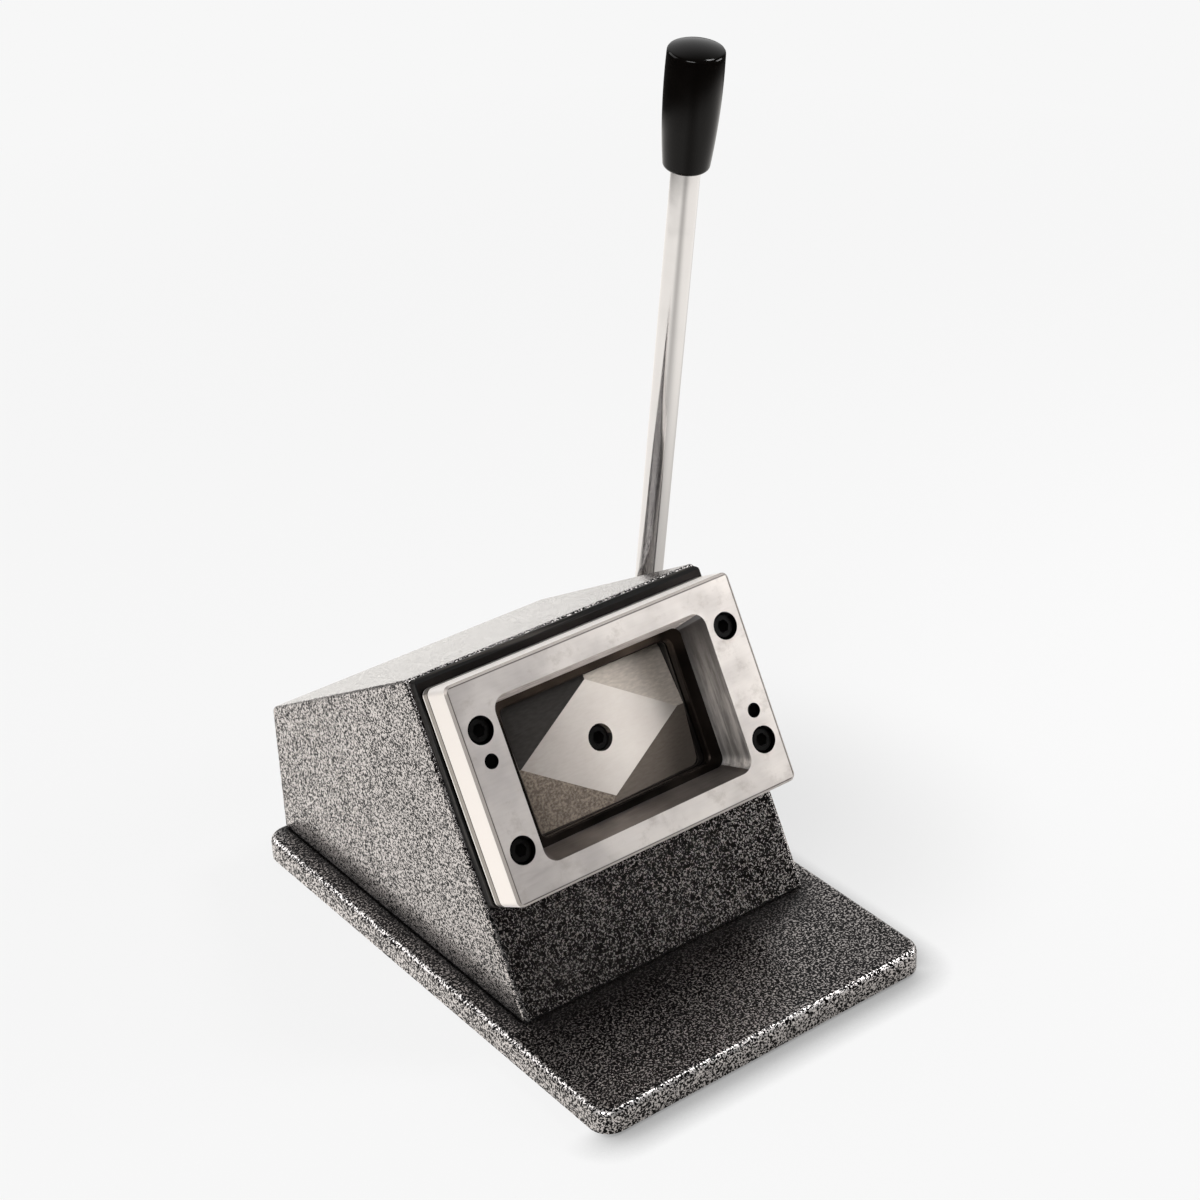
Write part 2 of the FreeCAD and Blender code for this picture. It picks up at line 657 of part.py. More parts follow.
# ================================================================ guide rods, springs, stops
def guide_rods():
    rods = []
    for x, v in four(ROD_X, ROD_V):
        body = rod(ROD_D / 2, Vector(x, v, BRIDGE_W_FACE), Z_AXIS, -BRIDGE_W_FACE)
        front = rod(ROD_SPIGOT_D / 2, Vector(x, v, 0), Z_AXIS, ROD_SPIGOT_BITE - SEAT_GAP)
        tail_l = BRIDGE_T + ROD_NUT_H + 1
        tail = rod(ROD_SPIGOT_D / 2, Vector(x, v, BRIDGE_W_FACE - tail_l), Z_AXIS, tail_l)
        rods.append(on_face(body.fuse(front).fuse(tail).removeSplitter()))
    return rods


def rod_nuts():
    nuts = []
    for x, v in four(ROD_X, ROD_V):
        start = Vector(x, v, BRIDGE_BACK_W - ROD_NUT_H)
        nut = hexagon(ROD_NUT_AF, start, Z_AXIS, ROD_NUT_H)
        nuts.append(on_face(nut.cut(rod(ROD_SPIGOT_D / 2 + THREAD_FIT, start, Z_AXIS, ROD_NUT_H))))
    return nuts


def return_springs():
    """Die springs of rectangular wire between the guide plate and the ram plate."""
    springs = []
    coil_r = ROD_D / 2 + SPRING_GAP + SPRING_WIRE / 2
    run = -HOLDER_BACK_W - SPRING_WIRE_H - 2 * SEAT_GAP
    path = Part.Wire(Part.makeHelix(run / SPRING_TURNS, run, coil_r))
    half_r, half_h = SPRING_WIRE / 2, SPRING_WIRE_H / 2
    corners = [(-half_r, -half_h), (half_r, -half_h), (half_r, half_h), (-half_r, half_h)]
    points = [Vector(coil_r + r, 0, h) for r, h in corners]
    section = Part.makePolygon(points + points[:1])
    for x, v in four(ROD_X, ROD_V):
        coil = path.makePipeShell([section], True, True)
        coil.Placement = Placement(Vector(x, v, HOLDER_BACK_W + half_h + SEAT_GAP), Rotation())
        springs.append(on_face(coil))
    return springs


def rest_stop_sleeves():
    inner_r = ROD_D / 2 + THREAD_FIT
    return [
        on_face(tube(RAM_BUSH_R, inner_r, Vector(x, v, BRIDGE_W_FACE), Z_AXIS, REST_SLEEVE_L))
        for x, v in four(ROD_X, ROD_V)
    ]


# ================================================================ cutting head
def head_holes(piece, hole_r, w0, w1):
    for x, v in four(HEAD_SCREW_X, HEAD_SCREW_V):
        piece = piece.cut(rod(hole_r, Vector(x, v, w0), Z_AXIS, w1 - w0))
    return piece


def dowel_spots():
    return [
        (-HEAD_SCREW_X, PLATE_CENTRE_V + DOWEL_V), (HEAD_SCREW_X, PLATE_CENTRE_V - DOWEL_V),
    ]


def dowel_holes(piece, w0, w1):
    for x, v in dowel_spots():
        piece = piece.cut(rod(DOWEL_D / 2 + THREAD_FIT, Vector(x, v, w0), Z_AXIS, w1 - w0))
    return piece


def guide_plate():
    foot = PLATE_FOOT_V
    middle = (foot + GUIDE_TOP_V) / 2
    plate = rounded_block(GUIDE_W, GUIDE_TOP_V - foot, GUIDE_CORNER_R, middle, 0, GUIDE_T)
    front_rim = [
        e for e in plate.Edges
        if all(abs(p.Z - GUIDE_T) < 0.001 for p in e.Vertexes)
    ]
    plate = plate.makeChamfer(GUIDE_CHAMFER, front_rim).cut(lead_in_cutter())
    opening = 2 * (GUIDE_FIT - PUNCH_FIT)
    plate = plate.cut(rounded_block(
        CARD_W + opening, CARD_H + opening, CARD_R, PLATE_CENTRE_V, -SHEET_T, GUIDE_T + SHEET_T
    ))
    plate = head_holes(plate, M6["d"] / 2 + HOLE_FIT, -SHEET_T, GUIDE_T + SHEET_T)
    plate = dowel_holes(plate, GUIDE_T - DOWEL_BITE, GUIDE_T + SHEET_T)
    for x, v in four(ROD_X, ROD_V):
        plate = plate.cut(rod(ROD_SPIGOT_D / 2 + THREAD_FIT, Vector(x, v, 0), Z_AXIS, ROD_SPIGOT_BITE))
    return on_face(plate)


def lead_in_cutter():
    """Takes off the guide plate's top front edge, where a sheet is led into the slot."""
    x = GUIDE_W
    cut = GUIDE_LEAD_IN
    points = [
        Vector(-x, GUIDE_TOP_V - cut, GUIDE_T), Vector(-x, GUIDE_TOP_V, GUIDE_T - cut),
        Vector(-x, GUIDE_TOP_V + cut, GUIDE_T), Vector(-x, GUIDE_TOP_V, GUIDE_T + cut),
    ]
    return prism(points, Vector(2 * x, 0, 0))


def slot_spacer():
    """U-shaped shim: it sets the gap that the sheet slides into from above, and stops its foot."""
    out_x = PLATE_W / 2 - SPACER_EDGE
    in_x = out_x - SPACER_W
    foot = PLATE_FOOT_V + SPACER_EDGE
    top = PLATE_TOP_V - SPACER_EDGE
    shim = box(-out_x, out_x, foot, top, SLOT_W, DIE_BACK_W)
    shim = shim.cut(box(-in_x, in_x, foot + SPACER_FOOT, top, SLOT_W, DIE_BACK_W))
    shim = head_holes(shim, M6["d"] / 2 + HOLE_FIT, SLOT_W, DIE_BACK_W)
    return on_face(dowel_holes(shim, SLOT_W, DIE_BACK_W))


def die_plate():
    plate = rounded_block(PLATE_W, PLATE_H, HEAD_CORNER_R, PLATE_CENTRE_V, DIE_BACK_W, DIE_FRONT_W)
    plate = plate.cut(rounded_block(
        CARD_W, CARD_H, CARD_R, PLATE_CENTRE_V, DIE_BACK_W - SHEET_T, DIE_FRONT_W + SHEET_T
    ))
    edge = [
        e for e in plate.Edges
        if all(abs(p.Z - DIE_FRONT_W) < 0.001 for p in e.Vertexes)
        and abs(e.CenterOfMass.x) < CARD_W / 2 + 0.1
        and abs(e.CenterOfMass.y - PLATE_CENTRE_V) < CARD_H / 2 + 0.1
    ]
    plate = plate.makeChamfer(DIE_LIP, edge)
    plate = head_holes(plate, M6["d"] / 2 + HOLE_FIT, DIE_BACK_W - SHEET_T, DIE_FRONT_W + SHEET_T)
    return on_face(dowel_holes(plate, DIE_BACK_W - SHEET_T, DIE_FRONT_W + SHEET_T))


def window_cutter():
    """The flared window that the cut card drops out through."""
    back = rounded_outline(
        CARD_W + 2 * WINDOW_FLARE_BACK_W, CARD_H + 2 * WINDOW_FLARE_BACK_H,
        WINDOW_R_BACK, PLATE_CENTRE_V, DIE_FRONT_W,
    )
    front = rounded_outline(
        CARD_W + 2 * WINDOW_FLARE_FRONT_W, CARD_H + 2 * WINDOW_FLARE_FRONT_H,
        WINDOW_R_FRONT, PLATE_CENTRE_V, HEAD_FRONT_W,
    )
    return Part.makeLoft([back, front], True)


def front_frame():
    frame = rounded_block(PLATE_W, PLATE_H, HEAD_CORNER_R, PLATE_CENTRE_V, DIE_FRONT_W, HEAD_FRONT_W)
    rim = [e for e in frame.Edges if all(abs(p.Z - HEAD_FRONT_W) < 0.001 for p in e.Vertexes)]
    frame = frame.makeChamfer(FRAME_BEVEL, rim)
    frame = frame.cut(window_cutter())
    frame = head_holes(frame, M6["d"] / 2 + HOLE_FIT, DIE_FRONT_W - SHEET_T, HEAD_FRONT_W + SHEET_T)
    frame = head_holes(frame, M6["head_d"] / 2 + HEAD_BORE_FIT, head_screw_seat(), HEAD_FRONT_W + SHEET_T)
    return on_face(dowel_holes(frame, DIE_FRONT_W - SHEET_T, HEAD_FRONT_W + SHEET_T))


def head_screw_seat():
    return HEAD_FRONT_W - HEAD_SCREW_SINK - M6["head_h"]


def head_screw_length():
    return head_screw_seat() + SHEET_T + SIDE_T


def frame_screws():
    return [
        on_face(cap_screw(M6, Vector(x, v, head_screw_seat()), Z_AXIS * -1, head_screw_length()))
        for x, v in four(HEAD_SCREW_X, HEAD_SCREW_V)
    ]


def dowel_pins():
    length = HEAD_FRONT_W - DOWEL_SINK - (GUIDE_T - DOWEL_BITE) - SEAT_GAP
    start_w = GUIDE_T - DOWEL_BITE + SEAT_GAP
    return [on_face(rod(DOWEL_D / 2, Vector(x, v, start_w), Z_AXIS, length)) for x, v in dowel_spots()]


# ================================================================ punch and ram
def facet_cutter(sx, sv):
    """A block whose flat underside is one of the four slopes round the diamond."""
    side = Vector(sx * (CARD_W / 2 - DIAMOND_INSET_X), -sx * DIAMOND_LEAN_V, 0)
    end = Vector(sv * DIAMOND_LEAN_X, sv * (CARD_H / 2 - DIAMOND_INSET_V), 0)
    corner = Vector(sx * CARD_W / 2, sv * CARD_H / 2, 0)
    outward = (end - side).cross(Z_AXIS * sx * sv).normalize()
    fall = PUNCH_CORNER_DROP / outward.dot(corner - side)
    size = CARD_W * 2
    block = box(-size, size, -size, size, 0, size)
    on_edge = Vector(0, PLATE_CENTRE_V, PUNCH_FACE_W) + (side + end) / 2
    block.Placement = Placement(on_edge, Rotation(Z_AXIS, Z_AXIS + outward * fall))
    return block


def punch():
    body = rounded_block(
        CARD_W - 2 * PUNCH_FIT, CARD_H - 2 * PUNCH_FIT, CARD_R - PUNCH_FIT, PLATE_CENTRE_V,
        PUNCH_BACK_W, PUNCH_FACE_W,
    )
    for sx in (-1, 1):
        for sv in (-1, 1):
            body = body.cut(facet_cutter(sx, sv))
    centre = Vector(0, PLATE_CENTRE_V, PUNCH_BACK_W)
    body = body.cut(clear_hole(M6, centre, Z_AXIS, PUNCH_T))
    head_r = M6["head_d"] / 2 + HEAD_BORE_FIT
    body = body.cut(rod(head_r, Vector(0, PLATE_CENTRE_V, punch_screw_seat()), Z_AXIS, PUNCH_T))
    for x in (-PUNCH_DOWEL_X, PUNCH_DOWEL_X):
        start = Vector(x, PLATE_CENTRE_V, PUNCH_BACK_W)
        body = body.cut(rod(DOWEL_D / 2 + THREAD_FIT, start, Z_AXIS, DOWEL_D))
    return on_face(body)


def punch_screw_seat():
    return PUNCH_FACE_W - HEAD_SCREW_SINK - M6["head_h"]


def punch_screw():
    length = punch_screw_seat() - PUNCH_BACK_W + HOLDER_T * 0.8
    return on_face(cap_screw(M6, Vector(0, PLATE_CENTRE_V, punch_screw_seat()), Z_AXIS * -1, length))


def punch_dowels():
    length = 2 * (DOWEL_D - SEAT_GAP)
    return [
        on_face(rod(DOWEL_D / 2, Vector(x, PLATE_CENTRE_V, PUNCH_BACK_W - length / 2), Z_AXIS, length))
        for x in (-PUNCH_DOWEL_X, PUNCH_DOWEL_X)
    ]


def punch_holder():
    block = box(
        -HOLDER_W / 2, HOLDER_W / 2, PLATE_CENTRE_V - HOLDER_H / 2, PLATE_CENTRE_V + HOLDER_H / 2,
        HOLDER_BACK_W, PUNCH_BACK_W,
    )
    down = Z_AXIS * -1
    block = block.cut(tapped_hole(M6, Vector(0, PLATE_CENTRE_V, PUNCH_BACK_W), down, HOLDER_T * 0.9))
    for x in (-PUNCH_DOWEL_X, PUNCH_DOWEL_X):
        start = Vector(x, PLATE_CENTRE_V, PUNCH_BACK_W)
        block = block.cut(rod(DOWEL_D / 2 + THREAD_FIT, start, down, DOWEL_D))
    for x, v in four(HOLDER_SCREW_X, HOLDER_SCREW_V):
        block = block.cut(tapped_hole(M5, Vector(x, v, HOLDER_BACK_W), Z_AXIS, HOLDER_T * 0.8))
    return on_face(block)


def ram_plate():
    half_h = RAM_PLATE_H / 2
    plate = box(
        -RAM_PLATE_W / 2, RAM_PLATE_W / 2, PLATE_CENTRE_V - half_h, PLATE_CENTRE_V + half_h,
        RAM_BACK_W, HOLDER_BACK_W,
    )
    back = Vector(0, 0, RAM_BACK_W)
    for x, v in four(ROD_X, ROD_V):
        plate = plate.cut(rod(RAM_BUSH_R, Vector(x, v, 0) + back, Z_AXIS, RAM_PLATE_T))
    for x, v in four(HOLDER_SCREW_X, HOLDER_SCREW_V):
        plate = plate.cut(clear_hole(M5, Vector(x, v, 0) + back, Z_AXIS, RAM_PLATE_T))
        head_r = M5["head_d"] / 2 + HOLE_FIT
        plate = plate.cut(rod(head_r, Vector(x, v, 0) + back, Z_AXIS, M5["head_h"] + HOLE_FIT))
    for x, v in four(BAR_SCREW_X, BAR_SCREW_V):
        plate = plate.cut(flush_hole(M5, Vector(x, v, HOLDER_BACK_W), Z_AXIS * -1, RAM_PLATE_T))
    for x in (-STOP_SCREW_X, STOP_SCREW_X):
        plate = plate.cut(tapped_hole(M5, Vector(x, PLATE_CENTRE_V, 0) + back, Z_AXIS, RAM_PLATE_T))
    return on_face(plate)


def holder_screws():
    seat_w = RAM_BACK_W + M5["head_h"] + HOLE_FIT
    length = HOLDER_BACK_W - seat_w + HOLDER_T * 0.7
    return [
        on_face(cap_screw(M5, Vector(x, v, seat_w), Z_AXIS, length))
        for x, v in four(HOLDER_SCREW_X, HOLDER_SCREW_V)
    ]


def ram_bushes():
    length = RAM_PLATE_T + RAM_BUSH_TAIL
    start_w = RAM_BACK_W - RAM_BUSH_TAIL
    return [
        on_face(tube(RAM_BUSH_R, ROD_D / 2 + RUN_FIT, Vector(x, v, start_w), Z_AXIS, length))
        for x, v in four(ROD_X, ROD_V)
    ]


def bar_screw_length():
    return RAM_PLATE_T + M5["d"] * 3


def ram_bar():
    bar = box(
        -RAM_BAR_W / 2, RAM_BAR_W / 2, PLATE_CENTRE_V - RAM_BAR_H / 2, PLATE_CENTRE_V + RAM_BAR_H / 2,
        RAM_BAR_BACK_W, RAM_BACK_W,
    )
    for x, v in four(BAR_SCREW_X, BAR_SCREW_V):
        depth = bar_screw_length() - RAM_PLATE_T + SEAT_GAP
        bar = bar.cut(tapped_hole(M5, Vector(x, v, RAM_BACK_W), Z_AXIS * -1, depth))
    for x in (-PAD_SCREW_X, PAD_SCREW_X):
        start = Vector(x, PLATE_CENTRE_V, RAM_BAR_BACK_W)
        bar = bar.cut(tapped_hole(M4, start, Z_AXIS, 2 * M4["d"] + SEAT_GAP))
    return on_face(bar)


def ram_bar_screws():
    return [
        on_face(flush_screw(M5, Vector(x, v, HOLDER_BACK_W), Z_AXIS * -1, bar_screw_length()))
        for x, v in four(BAR_SCREW_X, BAR_SCREW_V)
    ]


def wear_pad():
    pad = box(
        -WEAR_PAD_W / 2, WEAR_PAD_W / 2,
        PLATE_CENTRE_V - WEAR_PAD_H / 2, PLATE_CENTRE_V + WEAR_PAD_H / 2,
        WEAR_FACE_W, RAM_BAR_BACK_W,
    )
    for x in (-PAD_SCREW_X, PAD_SCREW_X):
        pad = pad.cut(flush_hole(M4, Vector(x, PLATE_CENTRE_V, WEAR_FACE_W), Z_AXIS, WEAR_PAD_T))
    return on_face(pad)


def wear_pad_screws():
    length = WEAR_PAD_T + 2 * M4["d"]
    return [
        on_face(flush_screw(M4, Vector(x, PLATE_CENTRE_V, WEAR_FACE_W), Z_AXIS, length))
        for x in (-PAD_SCREW_X, PAD_SCREW_X)
    ]


def depth_stop_screws():
    """Set screws in the ram plate. Their tips meet the guide plate when the stroke is done."""
    tail_w = RAM_BACK_W - LOCK_NUT_H - STOP_SCREW_TAIL
    length = -STROKE - SEAT_GAP - tail_w
    screws = []
    for x in (-STOP_SCREW_X, STOP_SCREW_X):
        start = Vector(x, PLATE_CENTRE_V, tail_w)
        shank = rod(M5["d"] / 2, start, Z_AXIS, length)
        screws.append(on_face(shank.cut(hexagon(M4["key"], start, Z_AXIS, M4["d"]))))
    return screws


def depth_stop_nuts():
    nuts = []
    for x in (-STOP_SCREW_X, STOP_SCREW_X):
        start = Vector(x, PLATE_CENTRE_V, RAM_BACK_W - LOCK_NUT_H)
        nut = hexagon(M5["csk_d"] * 0.8, start, Z_AXIS, LOCK_NUT_H)
        nuts.append(on_face(nut.cut(tapped_hole(M5, start, Z_AXIS, LOCK_NUT_H))))
    return nuts


# ================================================================ shaft and cam
def shaft_point(x):
    return Vector(x, SHAFT_CENTRE.y, SHAFT_CENTRE.z)


def key_slot(x0, x1, down):
    """A key's own block, half in the shaft and half in what it drives, on the shaft's down side."""
    half = KEY_S / 2
    return box(x0, x1, -half, half, down * SHAFT_R - half, down * SHAFT_R + half)


def on_shaft(shape, turn):
    moved = shape.copy()
    moved.Placement = Placement(shaft_point(0), Rotation(X_AXIS, turn))
    return moved


def cam_key():
    return on_shaft(key_slot(-CAM_W / 2, CAM_W / 2, -1), -FACE_TILT)


def hub_key():
    return on_shaft(key_slot(HUB_IN_X, HUB_OUT_X, -1), LEVER_LEAN)


def cross_shaft():
    left = -SIDE_OUT_X - SHAFT_TAIL
    shaft = rod(SHAFT_R, shaft_point(left), X_AXIS, HUB_OUT_X - left)
    shaft = shaft.cut(cam_key()).cut(hub_key())
    depth = M6["d"] * 3
    shaft = shaft.cut(tapped_hole(M6, shaft_point(HUB_OUT_X - depth - SEAT_GAP), X_AXIS, depth + SHEET_T))
    for side in (-1, 1):
        dimple_x = side * (COLLAR_OUT_X - COLLAR_W / 2)
        dimple = rod(M4["d"] / 2, shaft_point(dimple_x) + Y_AXIS * (SHAFT_R - 1), Y_AXIS, SHAFT_R)
        shaft = shaft.cut(dimple)
    return shaft


def cam_point(angle):
    """Working edge of the cam, as (v, w) from the shaft: its reach grows evenly with angle."""
    reach = CAM_REST_H + STROKE_PER_RADIAN * angle
    v = reach * math.sin(angle) + STROKE_PER_RADIAN * math.cos(angle)
    w = reach * math.cos(angle) - STROKE_PER_RADIAN * math.sin(angle)
    return (v, w)


def cam():
    first = -math.radians(CAM_OVERRUN)
    last = math.radians(LEVER_SWING + CAM_OVERRUN)
    count = 13
    marks = [cam_point(first + (last - first) * i / (count - 1)) for i in range(count)]
    points = [Vector(-CAM_W / 2, SHAFT_V + v, SHAFT_W_FACE + w) for v, w in marks]
    curve = Part.BSplineCurve()
    curve.interpolate(points)
    axis = Vector(-CAM_W / 2, SHAFT_V, SHAFT_W_FACE)
    tip_way = (points[-1] - axis).normalize()
    root_way = (points[0] - axis).normalize()
    under = Vector(0, tip_way.z, -tip_way.y)
    back = Vector(0, -root_way.z, root_way.y)
    tip_foot = axis + under * CAM_HUB_R * 0.9
    root_foot = axis + back * CAM_HUB_R * 0.9
    if under.dot(points[0] - axis) > 0:
        tip_foot = axis - under * CAM_HUB_R * 0.9
    if back.dot(points[-1] - axis) > 0:
        root_foot = axis - back * CAM_HUB_R * 0.9
    edges = [
        curve.toShape(), Part.makeLine(points[-1], tip_foot), Part.makeLine(tip_foot, axis),
        Part.makeLine(axis, root_foot), Part.makeLine(root_foot, points[0]),
    ]
    lobe = Part.Face(Part.Wire(edges)).extrude(Vector(CAM_W, 0, 0))
    body = lobe.fuse(rod(CAM_HUB_R, axis, X_AXIS, CAM_W)).removeSplitter()
    body = on_face(body.cut(rod(SHAFT_R + THREAD_FIT, axis, X_AXIS, CAM_W)))
    return body.cut(cam_key())


def shaft_bush(side):
    outward = X_AXIS * side
    sleeve = rod(SHAFT_R + RUN_FIT + BUSH_WALL, shaft_point(side * SIDE_IN_X), outward, SIDE_T)
    flange_start = shaft_point(side * (SIDE_IN_X - BUSH_FLANGE_T))
    flange = rod(BUSH_FLANGE_R, flange_start, outward, BUSH_FLANGE_T)
    bore = rod(SHAFT_R + RUN_FIT, flange_start, outward, BUSH_FLANGE_T + SIDE_T)
    return sleeve.fuse(flange).cut(bore).removeSplitter()


def shaft_collars():
    collars = []
    for side in (-1, 1):
        start = shaft_point(side * COLLAR_OUT_X)
        inward = X_AXIS * -side
        ring = tube(COLLAR_R, SHAFT_R + THREAD_FIT, start, inward, COLLAR_W)
        middle = shaft_point(side * (COLLAR_OUT_X - COLLAR_W / 2))
        collars.append(ring.cut(tapped_hole(M4, middle, Y_AXIS, 2 * COLLAR_R)))
    return collars


def collar_set_screws():
    screws = []
    for side in (-1, 1):
        middle = shaft_point(side * (COLLAR_OUT_X - COLLAR_W / 2))
        start = middle + Y_AXIS * (SHAFT_R - 1 + SEAT_GAP)
        length = COLLAR_R - SHAFT_R
        shank = rod(M4["d"] / 2 - SEAT_GAP, start, Y_AXIS, length)
        end = start + Y_AXIS * length
        screws.append(shank.cut(hexagon(M4["key"] * 0.8, end, Y_AXIS * -1, length / 2)))
    return screws


def grommet_body_r():
    return SHAFT_R + AXIAL_GAP + GROMMET_WALL


def shaft_grommet():
    """Flanged ring that lines the hole where the shaft leaves the housing."""
    inner_r = SHAFT_R + AXIAL_GAP
    body = rod(grommet_body_r(), shaft_point(SHELL_IN_X), X_AXIS, SHEET_T)
    flange = rod(GROMMET_FLANGE_R, shaft_point(HOUSING_W / 2), X_AXIS, GROMMET_FLANGE_T)
    bore = rod(inner_r, shaft_point(SHELL_IN_X), X_AXIS, SHEET_T + GROMMET_FLANGE_T)
    return body.fuse(flange).cut(bore).removeSplitter()


# ================================================================ lever
def lever_spigot_foot():
    return SHAFT_R + 2 * THREAD_FIT + 0.5


def lever_hub():
    body = rod(HUB_D / 2, shaft_point(HUB_IN_X), X_AXIS, HUB_W)
    ends = [e for e in body.Edges if e.Curve.TypeId == "Part::GeomCircle"]
    body = body.makeChamfer(FRAME_BEVEL, ends)
    body = body.cut(rod(SHAFT_R + THREAD_FIT, shaft_point(HUB_IN_X), X_AXIS, HUB_W))
    spigot_hole = rod(LEVER_SPIGOT_D / 2 + THREAD_FIT, Vector(0, 0, 0), Z_AXIS, HUB_D)
    flat = rod(LEVER_ROD_D / 2 + HOLE_FIT, Vector(0, 0, HUB_D / 2 - FRAME_BEVEL), Z_AXIS, HUB_D)
    body = body.cut(on_lever(spigot_hole)).cut(on_lever(flat))
    return body.cut(hub_key())


def hub_washer():
    return tube(HUB_D / 2 - 2 * FRAME_BEVEL, M6["d"] / 2 + HOLE_FIT, shaft_point(HUB_OUT_X), X_AXIS, SHEET_T)


def hub_end_screw():
    length = SHEET_T + 2.5 * M6["d"]
    return cap_screw(M6, shaft_point(HUB_OUT_X + SHEET_T), X_AXIS * -1, length)


def lever_rod():
    seat = HUB_D / 2 - FRAME_BEVEL + SEAT_GAP
    body = rod(LEVER_ROD_D / 2, Vector(0, 0, seat), Z_AXIS, LEVER_ROD_END - seat)
    foot = rod(LEVER_SPIGOT_D / 2, Vector(0, 0, lever_spigot_foot()), Z_AXIS, seat)
    top = rod(KNOB_THREAD_D / 2, Vector(0, 0, LEVER_ROD_END - 1), Z_AXIS, INSERT_L)
    return on_lever(body.fuse(foot).fuse(top).removeSplitter())


def knob_profile():
    """Half outline of the knob, from its foot's centre up to the crown, closed on the axis."""
    foot = KNOB_BOTTOM_ROUND
    turn = foot * (1 - math.sqrt(0.5))
    shoulder = KNOB_SHOULDER - KNOB_TOP_ROUND
    lip_r = KNOB_TOP_R - KNOB_TOP_ROUND
    lip_z = KNOB_SHOULDER + KNOB_TOP_ROUND * 0.2
    lip_turn = KNOB_TOP_ROUND * 0.3
    a = Vector(0, 0, 0)
    b = Vector(KNOB_BOTTOM_R - foot, 0, 0)
    c = Vector(KNOB_BOTTOM_R, 0, foot)
    d = Vector(KNOB_TOP_R, 0, shoulder)
    e = Vector(lip_r, 0, lip_z)
    rise = KNOB_H - lip_z
    crown_r = (lip_r ** 2 + rise ** 2) / (2 * rise)
    crown = Vector(0, 0, KNOB_H)
    crown_mid = Vector(lip_r / 2, 0, KNOB_H - crown_r + math.sqrt(crown_r ** 2 - (lip_r / 2) ** 2))
    return Part.Wire([
        Part.makeLine(a, b),
        Part.Arc(b, Vector(KNOB_BOTTOM_R - turn, 0, turn), c).toShape(),
        Part.Arc(c, Vector(KNOB_BELLY_R, 0, KNOB_BELLY_AT), d).toShape(),
        Part.Arc(d, Vector(KNOB_TOP_R - lip_turn, 0, KNOB_SHOULDER - lip_turn), e).toShape(),
        Part.Arc(e, crown_mid, crown).toShape(),
        Part.makeLine(crown, a),
    ])


def knob():
    body = Part.Face(knob_profile()).revolve(Vector(0, 0, 0), Z_AXIS, 360)
    body = body.cut(rod(INSERT_D / 2, Vector(0, 0, 0), Z_AXIS, INSERT_L))
    body.Placement = Placement(Vector(0, 0, LEVER_ROD_END), Rotation())
    return on_lever(body)


def knob_insert():
    start = Vector(0, 0, LEVER_ROD_END)
    return on_lever(tube(INSERT_D / 2, KNOB_THREAD_D / 2 + THREAD_FIT, start, Z_AXIS, INSERT_L))


# ================================================================ writing the pieces
def pieces():
    return {
        "base_pad": base_pad(),
        "base_plate": base_plate(),
        "side_plate_screws": side_plate_screws(),
        "bracket_screws": bracket_screws(),
        "housing_gasket": housing_gasket(),
        "housing_shell": housing_shell(),
        "housing_cheek_left": housing_cheek(-1),
        "housing_cheek_right": housing_cheek(1),
        "rear_cover": rear_cover(),
        "rear_cover_screws": rear_cover_screws(),
        "rear_bracket": rear_bracket(),
        "side_plate_left": side_plate(-1),
        "side_plate_right": side_plate(1),
        "ram_bridge": ram_bridge(),
        "bridge_screws": bridge_screws(),
        "ram_liner": ram_liner(),
        "guide_rods": guide_rods(),
        "rod_nuts": rod_nuts(),
        "rest_stop_sleeves": rest_stop_sleeves(),
        "return_springs": return_springs(),
        "guide_plate": guide_plate(),
        "slot_spacer": slot_spacer(),
        "die_plate": die_plate(),
        "front_frame": front_frame(),
        "frame_screws": frame_screws(),
        "dowel_pins": dowel_pins(),
        "punch": punch(),
        "punch_screw": punch_screw(),
        "punch_dowels": punch_dowels(),
        "punch_holder": punch_holder(),
        "holder_screws": holder_screws(),
        "ram_plate": ram_plate(),
        "ram_bushes": ram_bushes(),
        "ram_bar": ram_bar(),
        "ram_bar_screws": ram_bar_screws(),
        "wear_pad": wear_pad(),
        "wear_pad_screws": wear_pad_screws(),
        "depth_stop_screws": depth_stop_screws(),
        "depth_stop_nuts": depth_stop_nuts(),
        "cross_shaft": cross_shaft(),
        "cam": cam(),
        "cam_key": cam_key(),
        "shaft_bush_left": shaft_bush(-1),
        "shaft_bush_right": shaft_bush(1),
        "shaft_collars": shaft_collars(),
        "collar_set_screws": collar_set_screws(),
        "shaft_grommet": shaft_grommet(),
        "lever_hub": lever_hub(),
        "hub_key": hub_key(),
        "hub_washer": hub_washer(),
        "hub_end_screw": hub_end_screw(),
        "lever_rod": lever_rod(),
        "knob": knob(),
        "knob_insert": knob_insert(),
    }


def write(name, made):
    solids = made if isinstance(made, list) else [made]
    shape = Part.makeCompound(solids) if len(solids) > 1 else solids[0]
    shape.exportStep(f"parts/{name}.step")
    volume = sum(s.Volume for s in solids)
    count = sum(len(s.Solids) for s in solids)
    print(f"{name}: {count} solid(s), {volume:.0f} mm3, valid {all(s.isValid() for s in solids)}")


os.makedirs("parts", exist_ok=True)
for piece_name, piece_shape in pieces().items():
    write(piece_name, piece_shape)
print(f"stroke {STROKE:.3f} mm for {LEVER_SWING:.0f} degrees of lever")
print(f"shaft at y {SHAFT_CENTRE.y:.2f}, z {SHAFT_CENTRE.z:.2f}; lever at x {LEVER_X:.2f}")
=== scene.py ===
# %% [markdown]
# # Desk card cutter
#
# This machine cuts identity cards out of a plastic sheet. A long lever turns a shaft, a cam on
# the shaft pushes a punch, and the punch shears the card against a hardened plate behind a
# flared steel window. The imported CAD model holds every solid. This lesson gives each surface
# the finish that the real one has, and makes again the pieces that need more than the CAD mesh
# gives: the lever, its knob, the socket screws, and the springs, whose wire must shade smoothly.

# %% The frame
import json
import math

